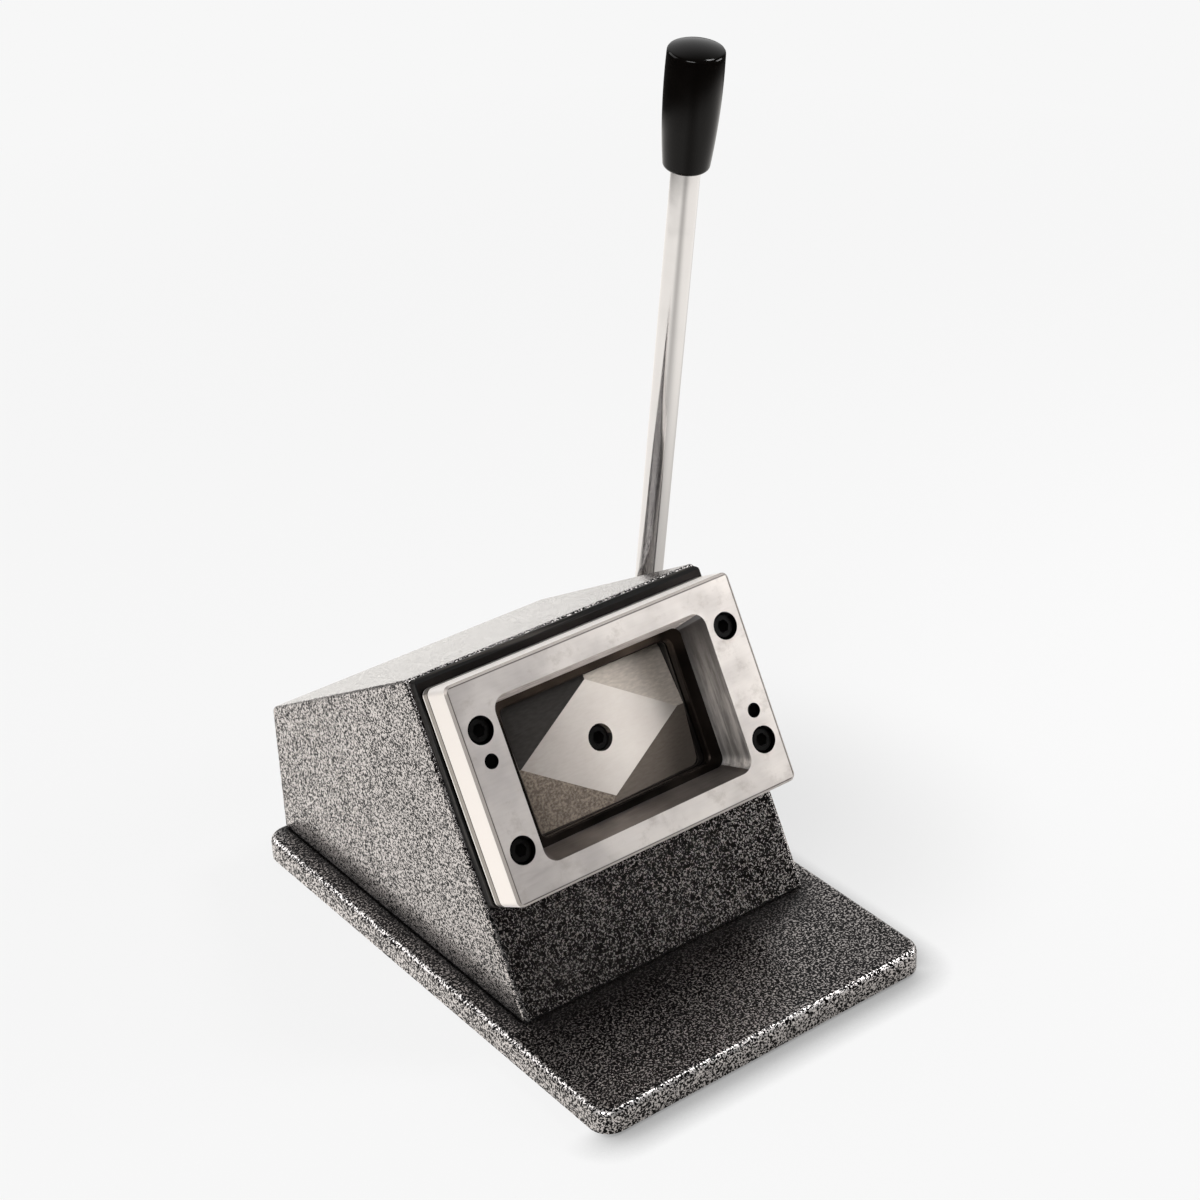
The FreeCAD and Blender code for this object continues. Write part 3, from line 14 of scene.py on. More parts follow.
import bmesh
import bpy
from mathutils import Matrix, Vector


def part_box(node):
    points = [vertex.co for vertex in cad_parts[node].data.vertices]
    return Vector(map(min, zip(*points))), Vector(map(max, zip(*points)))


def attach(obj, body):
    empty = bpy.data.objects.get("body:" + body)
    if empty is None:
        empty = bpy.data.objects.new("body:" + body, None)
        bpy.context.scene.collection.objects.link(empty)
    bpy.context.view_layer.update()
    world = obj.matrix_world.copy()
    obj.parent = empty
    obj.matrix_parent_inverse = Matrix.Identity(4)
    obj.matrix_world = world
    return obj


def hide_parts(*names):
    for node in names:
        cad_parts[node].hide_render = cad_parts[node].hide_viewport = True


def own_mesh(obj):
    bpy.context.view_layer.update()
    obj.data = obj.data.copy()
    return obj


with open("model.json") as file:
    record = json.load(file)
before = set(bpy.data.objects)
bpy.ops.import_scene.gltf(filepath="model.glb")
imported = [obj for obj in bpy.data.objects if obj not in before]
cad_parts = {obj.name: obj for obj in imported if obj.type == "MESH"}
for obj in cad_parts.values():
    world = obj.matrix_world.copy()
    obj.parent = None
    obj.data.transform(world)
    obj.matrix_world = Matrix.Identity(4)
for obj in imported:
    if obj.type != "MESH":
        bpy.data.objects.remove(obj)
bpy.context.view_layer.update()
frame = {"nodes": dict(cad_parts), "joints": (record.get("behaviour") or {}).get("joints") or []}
nodes = frame["nodes"]
MM = 0.001
print("CAD nodes:", len(nodes))

# %% [markdown]
# ## Camera
#
# The view looks down on the machine from its front left. A lens of about 80 mm from a bit over
# a metre away keeps the housing's edges nearly parallel, as in a catalogue. The camera's three
# axes are given as unit vectors, which says the same as three angles but is easier to check: each
# column of its matrix is one axis of the camera, written in the machine's frame.

# %% Camera
CAMERA_AT = Vector((-530.99, -747.50, 672.62)) * MM
CAMERA_RIGHT = Vector((0.79449, -0.60624, -0.03553))
CAMERA_UP = Vector((0.32444, 0.37427, 0.86871))
LENS_MM = 79.446
SENSOR_MM = 36.0
NEAREST, FARTHEST = 0.05, 20.0


def in_scene(name, data):
    """An object that shows this data, linked to the scene."""
    thing = bpy.data.objects.new(name, data)
    bpy.context.scene.collection.objects.link(thing)
    return thing


camera_data = bpy.data.cameras.new("catalogue_camera")
camera_data.lens = LENS_MM
camera_data.sensor_width = SENSOR_MM
camera_data.clip_start, camera_data.clip_end = NEAREST, FARTHEST
camera = in_scene("catalogue_camera", camera_data)
backwards = CAMERA_RIGHT.cross(CAMERA_UP)
turn = Matrix((CAMERA_RIGHT, CAMERA_UP, backwards)).transposed().to_4x4()
camera.matrix_world = Matrix.Translation(CAMERA_AT) @ turn
bpy.context.scene.camera = camera
bpy.context.scene.view_settings.view_transform = "Standard"
print("camera", [round(c, 4) for c in CAMERA_AT])

# %% [markdown]
# ## Helpers for materials
#
# Paint and plating charts give colours as sRGB hex values, while a shader works on linear light,
# so one function turns the one into the other. A second one adds a node with its settings, its
# links and its plain values in one line, which keeps the node trees short enough to read. A real
# finish is built up in layers, such as metal, oxide, oil and dirt, so a third one lays colours
# over one another, each through a mask of its own.

# %% Colour and node helpers
EASED = {"interpolation_type": "SMOOTHSTEP"}
NOISE_LOW, NOISE_HIGH = 0.3, 0.7  # a noise texture seldom leaves this range


def linear(hex_text):
    """'#RRGGBB' as sRGB, turned to linear RGBA."""
    channels = [int(hex_text[i:i + 2], 16) / 255 for i in (1, 3, 5)]
    return [c / 12.92 if c <= 0.04045 else ((c + 0.055) / 1.055) ** 2.4 for c in channels] + [1.0]


def add(tree, kind, inputs=None, **settings):
    """One node: settings are its options, inputs are nodes, sockets, hex colours or values."""
    node = tree.nodes.new(kind)
    for name, value in settings.items():
        setattr(node, name, value)
    for socket, value in (inputs or {}).items():
        if isinstance(value, bpy.types.Node):
            value = next(out for out in value.outputs if out.enabled)
        if isinstance(value, bpy.types.NodeSocket):
            tree.links.new(value, node.inputs[socket])
        else:
            colour = isinstance(value, str)
            node.inputs[socket].default_value = linear(value) if colour else value
    return node


def layered(tree, colour, *layers):
    """Colours over one another: each layer is a mask and what shows where the mask is 1."""
    for mask, over in layers:
        colour = add(tree, "ShaderNodeMix", {
            "Factor": mask, "A": colour, "B": over,
        }, data_type="RGBA")
    return colour


def blank_material(name):
    material = bpy.data.materials.new(name)
    material.use_nodes = True
    material.node_tree.nodes.clear()
    return material, material.node_tree


def per_mm(size_mm):
    """Texture scale, on coordinates in metres, for a pattern that repeats about every size_mm."""
    return 1 / (size_mm * MM)


def dress(material, *names):
    """Gives a material to CAD nodes, in the slots they have."""
    for name in names:
        if not nodes[name].material_slots:
            nodes[name].data.materials.append(material)
        for item in nodes[name].material_slots:
            item.material = material
    print(material.name, "on", ", ".join(names))


print("mid grey #808080 is", round(linear("#808080")[0], 3), "in linear light")

# %% [markdown]
# ## Coordinates of the sloping face
#
# The tool marks of the cutting head run along and across its own sloping face, and its faces are
# told apart by how they look out of that face. The slope's frame is the machine's frame moved to
# the foot of the front and turned by the tilt, so a Mapping node turns the coordinates back. The
# dot product of the normal with the slope's outward direction is 1 on the front, 0 on the sides
# and in the bores, and about a quarter on the flared walls of the window.

# %% Face coordinates
FACE_TILT = math.radians(28.8)
FACE_FOOT = Vector((0.0, -60.0, 12.0)) * MM
FACE_OUT = (0.0, -math.cos(FACE_TILT), math.sin(FACE_TILT))
FACE_UP = (0.0, math.sin(FACE_TILT), math.cos(FACE_TILT))
PLATE_CENTRE_V = 94.0
PLATE_FRONT_W = 24.3
face_matrix = Matrix.Translation(FACE_FOOT) @ Matrix.Rotation(math.pi / 2 - FACE_TILT, 4, "X")
into_face = face_matrix.inverted()


def on_face(x, v, w):
    """A point given in millimetres across, up and out of the sloping front."""
    return face_matrix @ (Vector((x, v, w)) * MM)


def face_place(tree):
    """Coordinates across, up and out of the slope."""
    return add(tree, "ShaderNodeMapping", {
        "Vector": add(tree, "ShaderNodeTexCoord").outputs["Object"],
        "Rotation": into_face.to_euler(), "Location": into_face.to_translation(),
    })


def looks_towards(tree, direction):
    """1 where the surface faces the direction, 0 square to it and -1 away from it."""
    return add(tree, "ShaderNodeVectorMath", {
        0: add(tree, "ShaderNodeTexCoord").outputs["Normal"], 1: direction,
    }, operation="DOT_PRODUCT")


print("plate centre", [round(c, 4) for c in on_face(0, PLATE_CENTRE_V, PLATE_FRONT_W)])

# %% [markdown]
# ## Paint: silver vein on steel
#
# Housing and base wear a stoved hammer finish: black enamel with aluminium flake that pulls
# together into small silver islands as it dries. Each island is about a millimetre across and
# 0.02 mm high. A noise pattern in the piece's own coordinates is cut near its middle for the
# islands. The same mask drives colour, metal, gloss and bump, because on the real paint all four
# come from the same flake. A clear coat lies over both, thicker on the silver: on the roof,
# which is seen almost edge-on, it mirrors the pale room and nearly hides the pattern. The faces
# that look one way, up on the base and out of the slope on the housing, are painted darker, with
# less and darker silver, as painted shade. The base is also painted darker in the crook where
# the housing stands on it, as painted shade.

# %% Silver vein paint
VEIN_RELIEF_MM = 0.02
VEIN_EDGE = 0.015
DRIFT_MM = 30.0
DRIFT_LEAN = 0.012
SHADE_SHIFT = 0.045
SHADE_LOOK = (0.9, 0.99)
UPWARD = (0.0, 0.0, 1.0)
# Painted shade in the crook between housing and base: each zone fades in along the depth, up to
# its share, and out across the half width. The first lies in front, the second along the sides.
CROOK_ZONES = (
    {"depth": (-84.0, -59.0), "share": 0.88, "half_width": (66.0, 74.0)},
    {"depth": (-66.0, -56.0), "share": 0.85, "half_width": (73.0, 78.5)},
)


def crook_painted_shade(tree, place):
    """Share of painted shade in the crook where the housing meets the base."""
    parts = add(tree, "ShaderNodeSeparateXYZ", {"Vector": place})
    side = add(tree, "ShaderNodeMath", {0: parts.outputs["X"]}, operation="ABSOLUTE")
    zones = []
    for zone in CROOK_ZONES:
        (y_from, y_to), (x_from, x_to) = zone["depth"], zone["half_width"]
        behind = add(tree, "ShaderNodeMapRange", {
            "Value": parts.outputs["Y"], "From Min": y_from * MM, "From Max": y_to * MM,
            "To Min": 0.0, "To Max": zone["share"],
        }, **EASED)
        inside = add(tree, "ShaderNodeMapRange", {
            "Value": side, "From Min": x_from * MM, "From Max": x_to * MM,
            "To Min": 1.0, "To Max": 0.0,
        }, **EASED)
        zones.append(add(tree, "ShaderNodeMath", {0: behind, 1: inside}, operation="MULTIPLY"))
    return add(tree, "ShaderNodeMath", {0: zones[0], 1: zones[1]}, operation="MAXIMUM")


def silver_vein(name, vein_mm, cut, gloss_high, shade_facing=None, shade_crook=False):
    """Silver where the noise passes cut; the side that faces the given direction is painted
    darker, as painted shade.
    """
    material, tree = blank_material(name)
    place = add(tree, "ShaderNodeTexCoord").outputs["Object"]
    veins = add(tree, "ShaderNodeTexNoise", {
        "Vector": place, "Scale": per_mm(vein_mm), "Detail": 1.0,
        "Roughness": 0.5, "Distortion": 0.7,
    })
    drift = add(tree, "ShaderNodeTexNoise", {
        "Vector": place, "Scale": per_mm(DRIFT_MM), "Detail": 2.0,
    })
    lean = add(tree, "ShaderNodeMapRange", {
        "Value": drift, "From Min": NOISE_LOW, "From Max": NOISE_HIGH,
        "To Min": -DRIFT_LEAN, "To Max": DRIFT_LEAN,
    })
    field = add(tree, "ShaderNodeMath", {0: veins, 1: lean}, operation="ADD")
    silver = "#CAC5C3"
    # Painted shade: the side facing this direction gets less silver, and a darker one.
    if shade_facing:
        shade_side_mask = add(tree, "ShaderNodeMapRange", {
            "Value": looks_towards(tree, shade_facing),
            "From Min": SHADE_LOOK[0], "From Max": SHADE_LOOK[1],
        }, **EASED)
        field = add(tree, "ShaderNodeMath", {
            0: shade_side_mask, 1: -SHADE_SHIFT, 2: field,
        }, operation="MULTIPLY_ADD")
        silver = layered(tree, "#DCD7D5", (shade_side_mask, "#AAA4A1"))
    islands = add(tree, "ShaderNodeMapRange", {
        "Value": field, "From Min": cut - VEIN_EDGE, "From Max": cut + VEIN_EDGE,
    }, **EASED)
    gloss = add(tree, "ShaderNodeMapRange", {
        "Value": islands, "To Min": 0.2, "To Max": gloss_high,
    })
    relief = add(tree, "ShaderNodeBump", {
        "Height": islands, "Strength": 0.6, "Distance": VEIN_RELIEF_MM * MM,
    })
    colour = layered(tree, "#060505", (islands, silver))
    # Painted shade in the crook where the housing stands on the base.
    if shade_crook:
        colour = layered(tree, colour, (crook_painted_shade(tree, place), "#070606"))
    coat = add(tree, "ShaderNodeMapRange", {"Value": islands, "To Min": 0.45, "To Max": 1.0})
    shader = add(tree, "ShaderNodeBsdfPrincipled", {
        "Base Color": colour, "Metallic": islands, "Roughness": gloss, "Normal": relief,
        "Specular IOR Level": 0.06,
        "Coat Weight": coat, "Coat Roughness": 0.15, "Coat IOR": 1.16,
    })
    add(tree, "ShaderNodeOutputMaterial", {"Surface": shader})
    return material


plate_paint = silver_vein("silver_vein_on_plate", 0.86, 0.526, 0.36, UPWARD, True)
sheet_paint = silver_vein("silver_vein_on_bent_sheet", 0.74, 0.545, 0.3, FACE_OUT)
cheek_paint = silver_vein("silver_vein_on_cheeks", 0.8, 0.508, 0.26)
dress(plate_paint, "base_plate")
dress(sheet_paint, "housing_shell", "rear_cover")
dress(cheek_paint, "housing_cheek_left", "housing_cheek_right")

# %% [markdown]
# ## Machined steel
#
# Steel is a metal: full metallic, with its colour in the reflection. A broad noise makes the
# cloudy marks of handling, and a noise stretched along the tool's path makes its lines. Real
# tool marks are a tenth of a millimetre apart or less, too fine to see from a metre away, so
# they are drawn about a millimetre apart. Every inner steel part shares this recipe with its own
# pair of colours and its own gloss.

# %% Milled and ground steel
CLOUD_MM = 30.0
MARK_DEPTH_MM = 0.01


def tool_marks(tree, face, line_mm, stretch, smooth, rough):
    """Broad clouds and fine lines of a machined surface, and the gloss that the lines give."""
    cloud = add(tree, "ShaderNodeTexNoise", {
        "Vector": face, "Scale": per_mm(CLOUD_MM), "Detail": 3.0, "Roughness": 0.55,
    })
    drawn = add(tree, "ShaderNodeMapping", {"Vector": face, "Scale": stretch})
    lines = add(tree, "ShaderNodeTexNoise", {
        "Vector": drawn, "Scale": per_mm(line_mm), "Detail": 2.0, "Roughness": 0.5,
    })
    patches = add(tree, "ShaderNodeMapRange", {
        "Value": cloud, "From Min": 0.35, "From Max": 0.65,
    }, **EASED)
    gloss = add(tree, "ShaderNodeMapRange", {
        "Value": lines, "From Min": NOISE_LOW, "From Max": NOISE_HIGH,
        "To Min": smooth, "To Max": rough,
    })
    return patches, lines, gloss


def grained(tree, colour, gloss, grain, depth_mm, metal=1.0, strength=0.5, specular=0.5):
    """A surface whose relief follows a pattern, such as tool marks or the grain of rubber."""
    relief = add(tree, "ShaderNodeBump", {
        "Height": grain, "Strength": strength, "Distance": depth_mm * MM,
    })
    shader = add(tree, "ShaderNodeBsdfPrincipled", {
        "Base Color": colour, "Metallic": metal, "Roughness": gloss, "Normal": relief,
        "Specular IOR Level": specular,
    })
    add(tree, "ShaderNodeOutputMaterial", {"Surface": shader})


def machined_steel(name, light_hex, dull_hex, smooth, rough, line_mm, stretch=(1.0, 1.0, 1.0)):
    material, tree = blank_material(name)
    patches, lines, gloss = tool_marks(tree, face_place(tree), line_mm, stretch, smooth, rough)
    colour = layered(tree, dull_hex, (patches, light_hex))
    grained(tree, colour, gloss, lines, MARK_DEPTH_MM)
    return material


inner_steel = machined_steel("milled_bright_steel", "#A5A6A6", "#929291", 0.35, 0.55, 1.5)
rod_steel = machined_steel("centreless_ground_rod", "#C9CACA", "#BDBEBF", 0.18, 0.28, 0.8)
spring_steel = machined_steel("oil_tempered_spring_wire", "#5C5F64", "#4A4C50", 0.3, 0.45, 0.8)
tool_steel = machined_steel(
    "oiled_tool_steel", "#8A8178", "#6E665E", 0.3, 0.5, 1.0, (0.1, 1.0, 1.0)
)
dress(
    inner_steel, "rear_bracket", "side_plate_left", "side_plate_right", "ram_bridge",
    "rest_stop_sleeves", "punch_holder", "ram_plate", "ram_bar", "cam_key", "hub_key",
    "shaft_collars",
)
dress(rod_steel, "guide_rods", "punch_dowels", "cross_shaft")
dress(tool_steel, "slot_spacer", "wear_pad", "cam")

# %% [markdown]
# ## The front frame
#
# The frame is milled from bar. Its front is ground, and painted lighter towards the right, as
# painted light. Its outer sides are bright, while the flared walls of the window keep the mill's
# dull surface. The bores of the sunk screws and dowels are painted black, as painted shade deep
# in the holes. One material does all of that by position: holes by their distance from the
# nearest axis, walls by how they face. Folding the coordinates about the plate's centre makes
# one distance serve for all four screws, and one sign serve for the two dowels, which sit on
# opposite corners. Where frame and die meet, oil creeps out and leaves a thin dark line.

# %% Masks by position
PLATE_HALF_W = 70.5
PLATE_HALF_H = 45.5
FRAME_BEVEL = 1.0
HEAD_SCREW_X = 61.0
HEAD_SCREW_V = 24.75
HEAD_BORE_R = 5.7
DOWEL_V = 12.0
DOWEL_R = 3.0
BORE_MARGIN, DOWEL_MARGIN = 0.05, 0.08
DIE_FRONT_W = 9.6
JOINT_HALF_W = 0.3
SIDE_LOOK = 0.1
BEVEL_LINE_FROM, BEVEL_LINE_TO = -0.7, -0.1


def about_centre(tree, parts):
    """Height over the plate's centre, and the distances from its two centre lines."""
    above = add(tree, "ShaderNodeMath", {
        0: parts.outputs["Y"], 1: PLATE_CENTRE_V * MM,
    }, operation="SUBTRACT")
    side = add(tree, "ShaderNodeMath", {0: parts.outputs["X"]}, operation="ABSOLUTE")
    height = add(tree, "ShaderNodeMath", {0: above}, operation="ABSOLUTE")
    return above, side, height


def near(tree, x, x0, y, y0, radius_mm):
    """1 inside a circle of radius_mm about (x0, y0), all in millimetres."""
    dx = add(tree, "ShaderNodeMath", {0: x, 1: x0 * MM}, operation="SUBTRACT")
    dy = add(tree, "ShaderNodeMath", {0: y, 1: y0 * MM}, operation="SUBTRACT")
    both = add(tree, "ShaderNodeCombineXYZ", {"X": dx, "Y": dy})
    away = add(tree, "ShaderNodeVectorMath", {0: both}, operation="LENGTH")
    return add(tree, "ShaderNodeMath", {0: away, 1: radius_mm * MM}, operation="LESS_THAN")


def bore_shade_mask(tree, parts):
    """1 in the bores of the head's screws and dowels, which are painted black as shade."""
    above, side, height = about_centre(tree, parts)
    sign = add(tree, "ShaderNodeMath", {0: parts.outputs["X"]}, operation="SIGN")
    folded = add(tree, "ShaderNodeMath", {0: above, 1: sign}, operation="MULTIPLY")
    bores = near(tree, side, HEAD_SCREW_X, height, HEAD_SCREW_V, HEAD_BORE_R + BORE_MARGIN)
    dowels = near(tree, side, HEAD_SCREW_X, folded, -DOWEL_V, DOWEL_R + DOWEL_MARGIN)
    return add(tree, "ShaderNodeMath", {0: bores, 1: dowels}, operation="MAXIMUM")


def joint_line(tree, parts, facing):
    """1 on the sides, along the line where the frame lies on the die plate."""
    line = add(tree, "ShaderNodeMath", {
        0: parts.outputs["Z"], 1: DIE_FRONT_W * MM, 2: JOINT_HALF_W * MM,
    }, operation="COMPARE")
    sides = add(tree, "ShaderNodeMath", {0: facing, 1: SIDE_LOOK}, operation="LESS_THAN")
    return add(tree, "ShaderNodeMath", {0: line, 1: sides}, operation="MULTIPLY")


def bevel_foot_line(tree, parts, front):
    """1 along the foot of the frame's outer bevel, where the ground front is drawn darker."""
    _, side, height = about_centre(tree, parts)
    wide = add(tree, "ShaderNodeMath", {
        0: side, 1: (PLATE_HALF_W - FRAME_BEVEL) * MM,
    }, operation="SUBTRACT")
    tall = add(tree, "ShaderNodeMath", {
        0: height, 1: (PLATE_HALF_H - FRAME_BEVEL) * MM,
    }, operation="SUBTRACT")
    edge = add(tree, "ShaderNodeMath", {0: wide, 1: tall}, operation="MAXIMUM")
    line = add(tree, "ShaderNodeMapRange", {
        "Value": edge, "From Min": BEVEL_LINE_FROM * MM, "From Max": BEVEL_LINE_TO * MM,
    }, **EASED)
    return add(tree, "ShaderNodeMath", {0: line, 1: front}, operation="MULTIPLY")


print("screw holes at", HEAD_SCREW_X, "by", HEAD_SCREW_V, "mm from the plate's centre")

# %% [markdown]
# The cutter that milled the window left its feed marks standing upright on the walls. The wall
# on the right is painted bright with them, as painted light from the lamps at the left, and
# darker towards its top, as painted shade. The one at the top is painted a pale colour that is no
# metal, as painted light, so it does not mirror the room as bare metal would.

# %% Frame steel
FRONT_LOOK = 0.85
BEVEL_LOOK, BEVEL_SPREAD = 0.68, 0.16
WALL_LOOK, WALL_SPREAD = 0.255, 0.12


def window_wall(tree, face, parts, patches, lines):
    """Colour and metal of the milled walls of the window."""
    right_wall = add(tree, "ShaderNodeMath", {
        0: looks_towards(tree, (-1.0, 0.0, 0.0)), 1: 0.5,
    }, operation="GREATER_THAN")
    top_wall = add(tree, "ShaderNodeMath", {
        0: looks_towards(tree, FACE_UP), 1: -0.5,
    }, operation="LESS_THAN")
    streaks = add(tree, "ShaderNodeMapRange", {
        "Value": lines, "From Min": 0.35, "From Max": 0.65,
    })
    upright = add(tree, "ShaderNodeMapping", {"Vector": face, "Scale": (1.0, 0.12, 1.0)})
    feed = add(tree, "ShaderNodeTexNoise", {
        "Vector": upright, "Scale": per_mm(2.6), "Detail": 3.0, "Roughness": 0.6,
    })
    feed = add(tree, "ShaderNodeMapRange", {"Value": feed, "From Min": 0.38, "From Max": 0.62})
    shade_up_the_wall = add(tree, "ShaderNodeMapRange", {
        "Value": parts.outputs["Y"], "From Min": 80.0 * MM, "From Max": 130.0 * MM,
    }, **EASED)
    # Painted light: the right wall is bright with its feed marks and darker towards its top as
    # painted shade; the top wall is pale.
    right_wall_lit_with_feed = layered(tree, "#A29F9D", (feed, "#E0DDDA"), (shade_up_the_wall, "#6C6968"))
    top_wall_painted_light = layered(tree, "#BFB3AC", (streaks, "#F4EAE3"))
    colour = layered(
        tree, "#6A6460", (patches, "#837C77"), (top_wall, top_wall_painted_light), (right_wall, right_wall_lit_with_feed)
    )
    return colour, add(tree, "ShaderNodeMath", {0: 1.0, 1: top_wall}, operation="SUBTRACT")


def frame_steel():
    material, tree = blank_material("ground_mild_steel")
    face = face_place(tree)
    facing = looks_towards(tree, FACE_OUT)
    parts = add(tree, "ShaderNodeSeparateXYZ", {"Vector": face})
    patches, lines, gloss = tool_marks(tree, face, 1.2, (0.15, 1.0, 1.0), 0.48, 0.6)
    front = add(tree, "ShaderNodeMath", {0: facing, 1: FRONT_LOOK}, operation="GREATER_THAN")
    bevel = add(tree, "ShaderNodeMath", {
        0: facing, 1: BEVEL_LOOK, 2: BEVEL_SPREAD,
    }, operation="COMPARE")
    wall = add(tree, "ShaderNodeMath", {
        0: facing, 1: WALL_LOOK, 2: WALL_SPREAD,
    }, operation="COMPARE")
    across = add(tree, "ShaderNodeMapRange", {
        "Value": parts.outputs["X"], "From Min": -66.0 * MM, "From Max": 20.0 * MM,
    }, **EASED)
    stains = add(tree, "ShaderNodeTexNoise", {
        "Vector": face, "Scale": per_mm(9.0), "Detail": 5.0, "Roughness": 0.7,
    })
    stains = add(tree, "ShaderNodeMapRange", {
        "Value": stains, "From Min": 0.54, "From Max": 0.76, "To Max": 0.5,
    })
    # Painted light: the ground front is painted lighter towards the right.
    dull = layered(tree, "#C0BAB7", (across, "#C9C3BF"))
    light = layered(tree, "#D6D0CC", (across, "#E0DAD5"))
    ground = layered(tree, dull, (patches, light), (stains, "#A1978F"))
    wall_colour, metal = window_wall(tree, face, parts, patches, lines)
    colour = layered(
        tree, "#FAF5F1", (front, ground), (bevel, "#B3ACA7"),
        (bevel_foot_line(tree, parts, front), "#57504C"), (wall, wall_colour),
        (bore_shade_mask(tree, parts), "#0A0909"), (joint_line(tree, parts, facing), "#241F1C"),
    )
    grained(tree, colour, gloss, lines, MARK_DEPTH_MM, metal)
    return material


dress(frame_steel(), "front_frame")

# %% [markdown]
# ## The die plate
#
# The die is hardened tool steel. Seen through the window, its front is a narrow ledge. The ledge
# and the walls of its opening are painted dark, as painted shade deep in the window, and browner
# at the top. Its outer sides are ground, and the corner that the plastic sheets slide past is
# polished bright.

# %% Die steel
OPENING_HALF_W = 50.0
OPENING_HALF_H = 34.0
POLISHED_BELOW_W = 6.5


def opening_shade_mask(tree, parts):
    """1 near the die's opening, where the walls are painted dark, as painted shade."""
    _, side, height = about_centre(tree, parts)
    narrow = add(tree, "ShaderNodeMath", {0: side, 1: OPENING_HALF_W * MM}, operation="LESS_THAN")
    low = add(tree, "ShaderNodeMath", {0: height, 1: OPENING_HALF_H * MM}, operation="LESS_THAN")
    return add(tree, "ShaderNodeMath", {0: narrow, 1: low}, operation="MULTIPLY")


def die_steel():
    material, tree = blank_material("hardened_die_steel")
    face = face_place(tree)
    facing = looks_towards(tree, FACE_OUT)
    parts = add(tree, "ShaderNodeSeparateXYZ", {"Vector": face})
    patches, lines, gloss = tool_marks(tree, face, 1.0, (0.1, 1.0, 1.0), 0.3, 0.45)
    ledge = add(tree, "ShaderNodeMath", {0: facing, 1: FRONT_LOOK}, operation="GREATER_THAN")
    rubbed = add(tree, "ShaderNodeMath", {
        0: parts.outputs["Z"], 1: POLISHED_BELOW_W * MM,
    }, operation="LESS_THAN")
    top = add(tree, "ShaderNodeMapRange", {
        "Value": parts.outputs["Y"], "From Min": 112.0 * MM, "From Max": 122.0 * MM,
    }, **EASED)
    # Painted shade: the ledge and the opening's walls are dark, browner towards the top.
    opening_shade_deep = layered(tree, "#12100E", (top, "#342C27"))
    opening_shade_pale = layered(tree, "#241F1C", (top, "#50453D"))
    colour = layered(
        tree, "#A09A94", (rubbed, "#FBF8F4"), (joint_line(tree, parts, facing), "#241F1C"),
        (ledge, layered(tree, "#1B1715", (patches, "#292421"))),
        (opening_shade_mask(tree, parts), layered(tree, opening_shade_deep, (patches, opening_shade_pale))),
    )
    grained(tree, colour, gloss, lines, MARK_DEPTH_MM)
    return material


dress(die_steel(), "die_plate")

# %% [markdown]
# ## The guide plate
#
# The plate behind the slot is blackened all over and then ground on its front, where the sheet
# slides. So its front margin is a dark grey metal and every edge is a dull black skin with a few
# rubbed streaks. The skin gives back little light: a low specular level keeps it black beside
# the bright frame.

# %% Guide plate steel
def guide_steel():
    material, tree = blank_material("blackened_and_ground_steel")
    face = face_place(tree)
    patches, lines, gloss = tool_marks(tree, face, 1.4, (0.12, 1.0, 1.0), 0.36, 0.5)
    front = add(tree, "ShaderNodeMath", {
        0: looks_towards(tree, FACE_OUT), 1: 0.9,
    }, operation="GREATER_THAN")
    drawn = add(tree, "ShaderNodeMapping", {"Vector": face, "Scale": (0.03, 0.03, 1.0)})
    rubs = add(tree, "ShaderNodeTexNoise", {
        "Vector": drawn, "Scale": per_mm(1.3), "Detail": 2.0, "Roughness": 0.5,
    })
    rubs = add(tree, "ShaderNodeMapRange", {"Value": rubs, "From Min": 0.52, "From Max": 0.66})
    ground = layered(tree, "#1D1B1A", (patches, "#272423"))
    colour = layered(tree, "#080707", (rubs, "#393532"), (front, ground))
    grained(tree, colour, gloss, lines, MARK_DEPTH_MM, front, 0.4, 0.12)
    return material


dress(guide_steel(), "guide_plate")

# %% [markdown]
# ## Black oxide, bronze, rubber and nylon
#
# Screws and dowels are blackened in a hot bath: a thin dark skin over steel that keeps a satin
# sheen. The bushes and the ram's liner are turned bronze. The pad under the base and the strip
# that seals the housing are rubber.

# %% Small materials
def plain_finish(
    name, base_hex, worn_hex, metallic, smooth, rough, grain_mm, relief_mm=0.02, specular=0.5
):
    material, tree = blank_material(name)
    grain = add(tree, "ShaderNodeTexNoise", {
        "Vector": add(tree, "ShaderNodeTexCoord").outputs["Object"],
        "Scale": per_mm(grain_mm), "Detail": 3.0,
    })
    gloss = add(tree, "ShaderNodeMapRange", {
        "Value": grain, "From Min": NOISE_LOW, "From Max": NOISE_HIGH,
        "To Min": smooth, "To Max": rough,
    })
    colour = layered(tree, base_hex, (grain, worn_hex))
    grained(tree, colour, gloss, grain, relief_mm, metallic, 0.4, specular)
    return material


black_oxide = plain_finish(
    "black_oxide_on_steel", "#030202", "#090807", 0.0, 0.35, 0.5, 3.0, specular=0.1
)
bronze = plain_finish("turned_bronze", "#A5773E", "#8C6434", 1.0, 0.3, 0.45, 2.0)
brass = plain_finish("turned_brass", "#C7A35A", "#B8954E", 1.0, 0.25, 0.4, 2.0)
rubber = plain_finish("moulded_rubber", "#0F0F0F", "#191919", 0.0, 0.7, 0.9, 1.0, 0.05, 0.3)
nylon = plain_finish("moulded_nylon", "#101010", "#161616", 0.0, 0.4, 0.55, 1.5)
dress(
    black_oxide, "frame_screws", "punch_screw", "side_plate_screws", "bracket_screws",
    "dowel_pins", "rear_cover_screws", "bridge_screws", "rod_nuts", "holder_screws",
    "ram_bar_screws", "wear_pad_screws", "depth_stop_screws", "depth_stop_nuts",
    "collar_set_screws", "hub_end_screw",
)
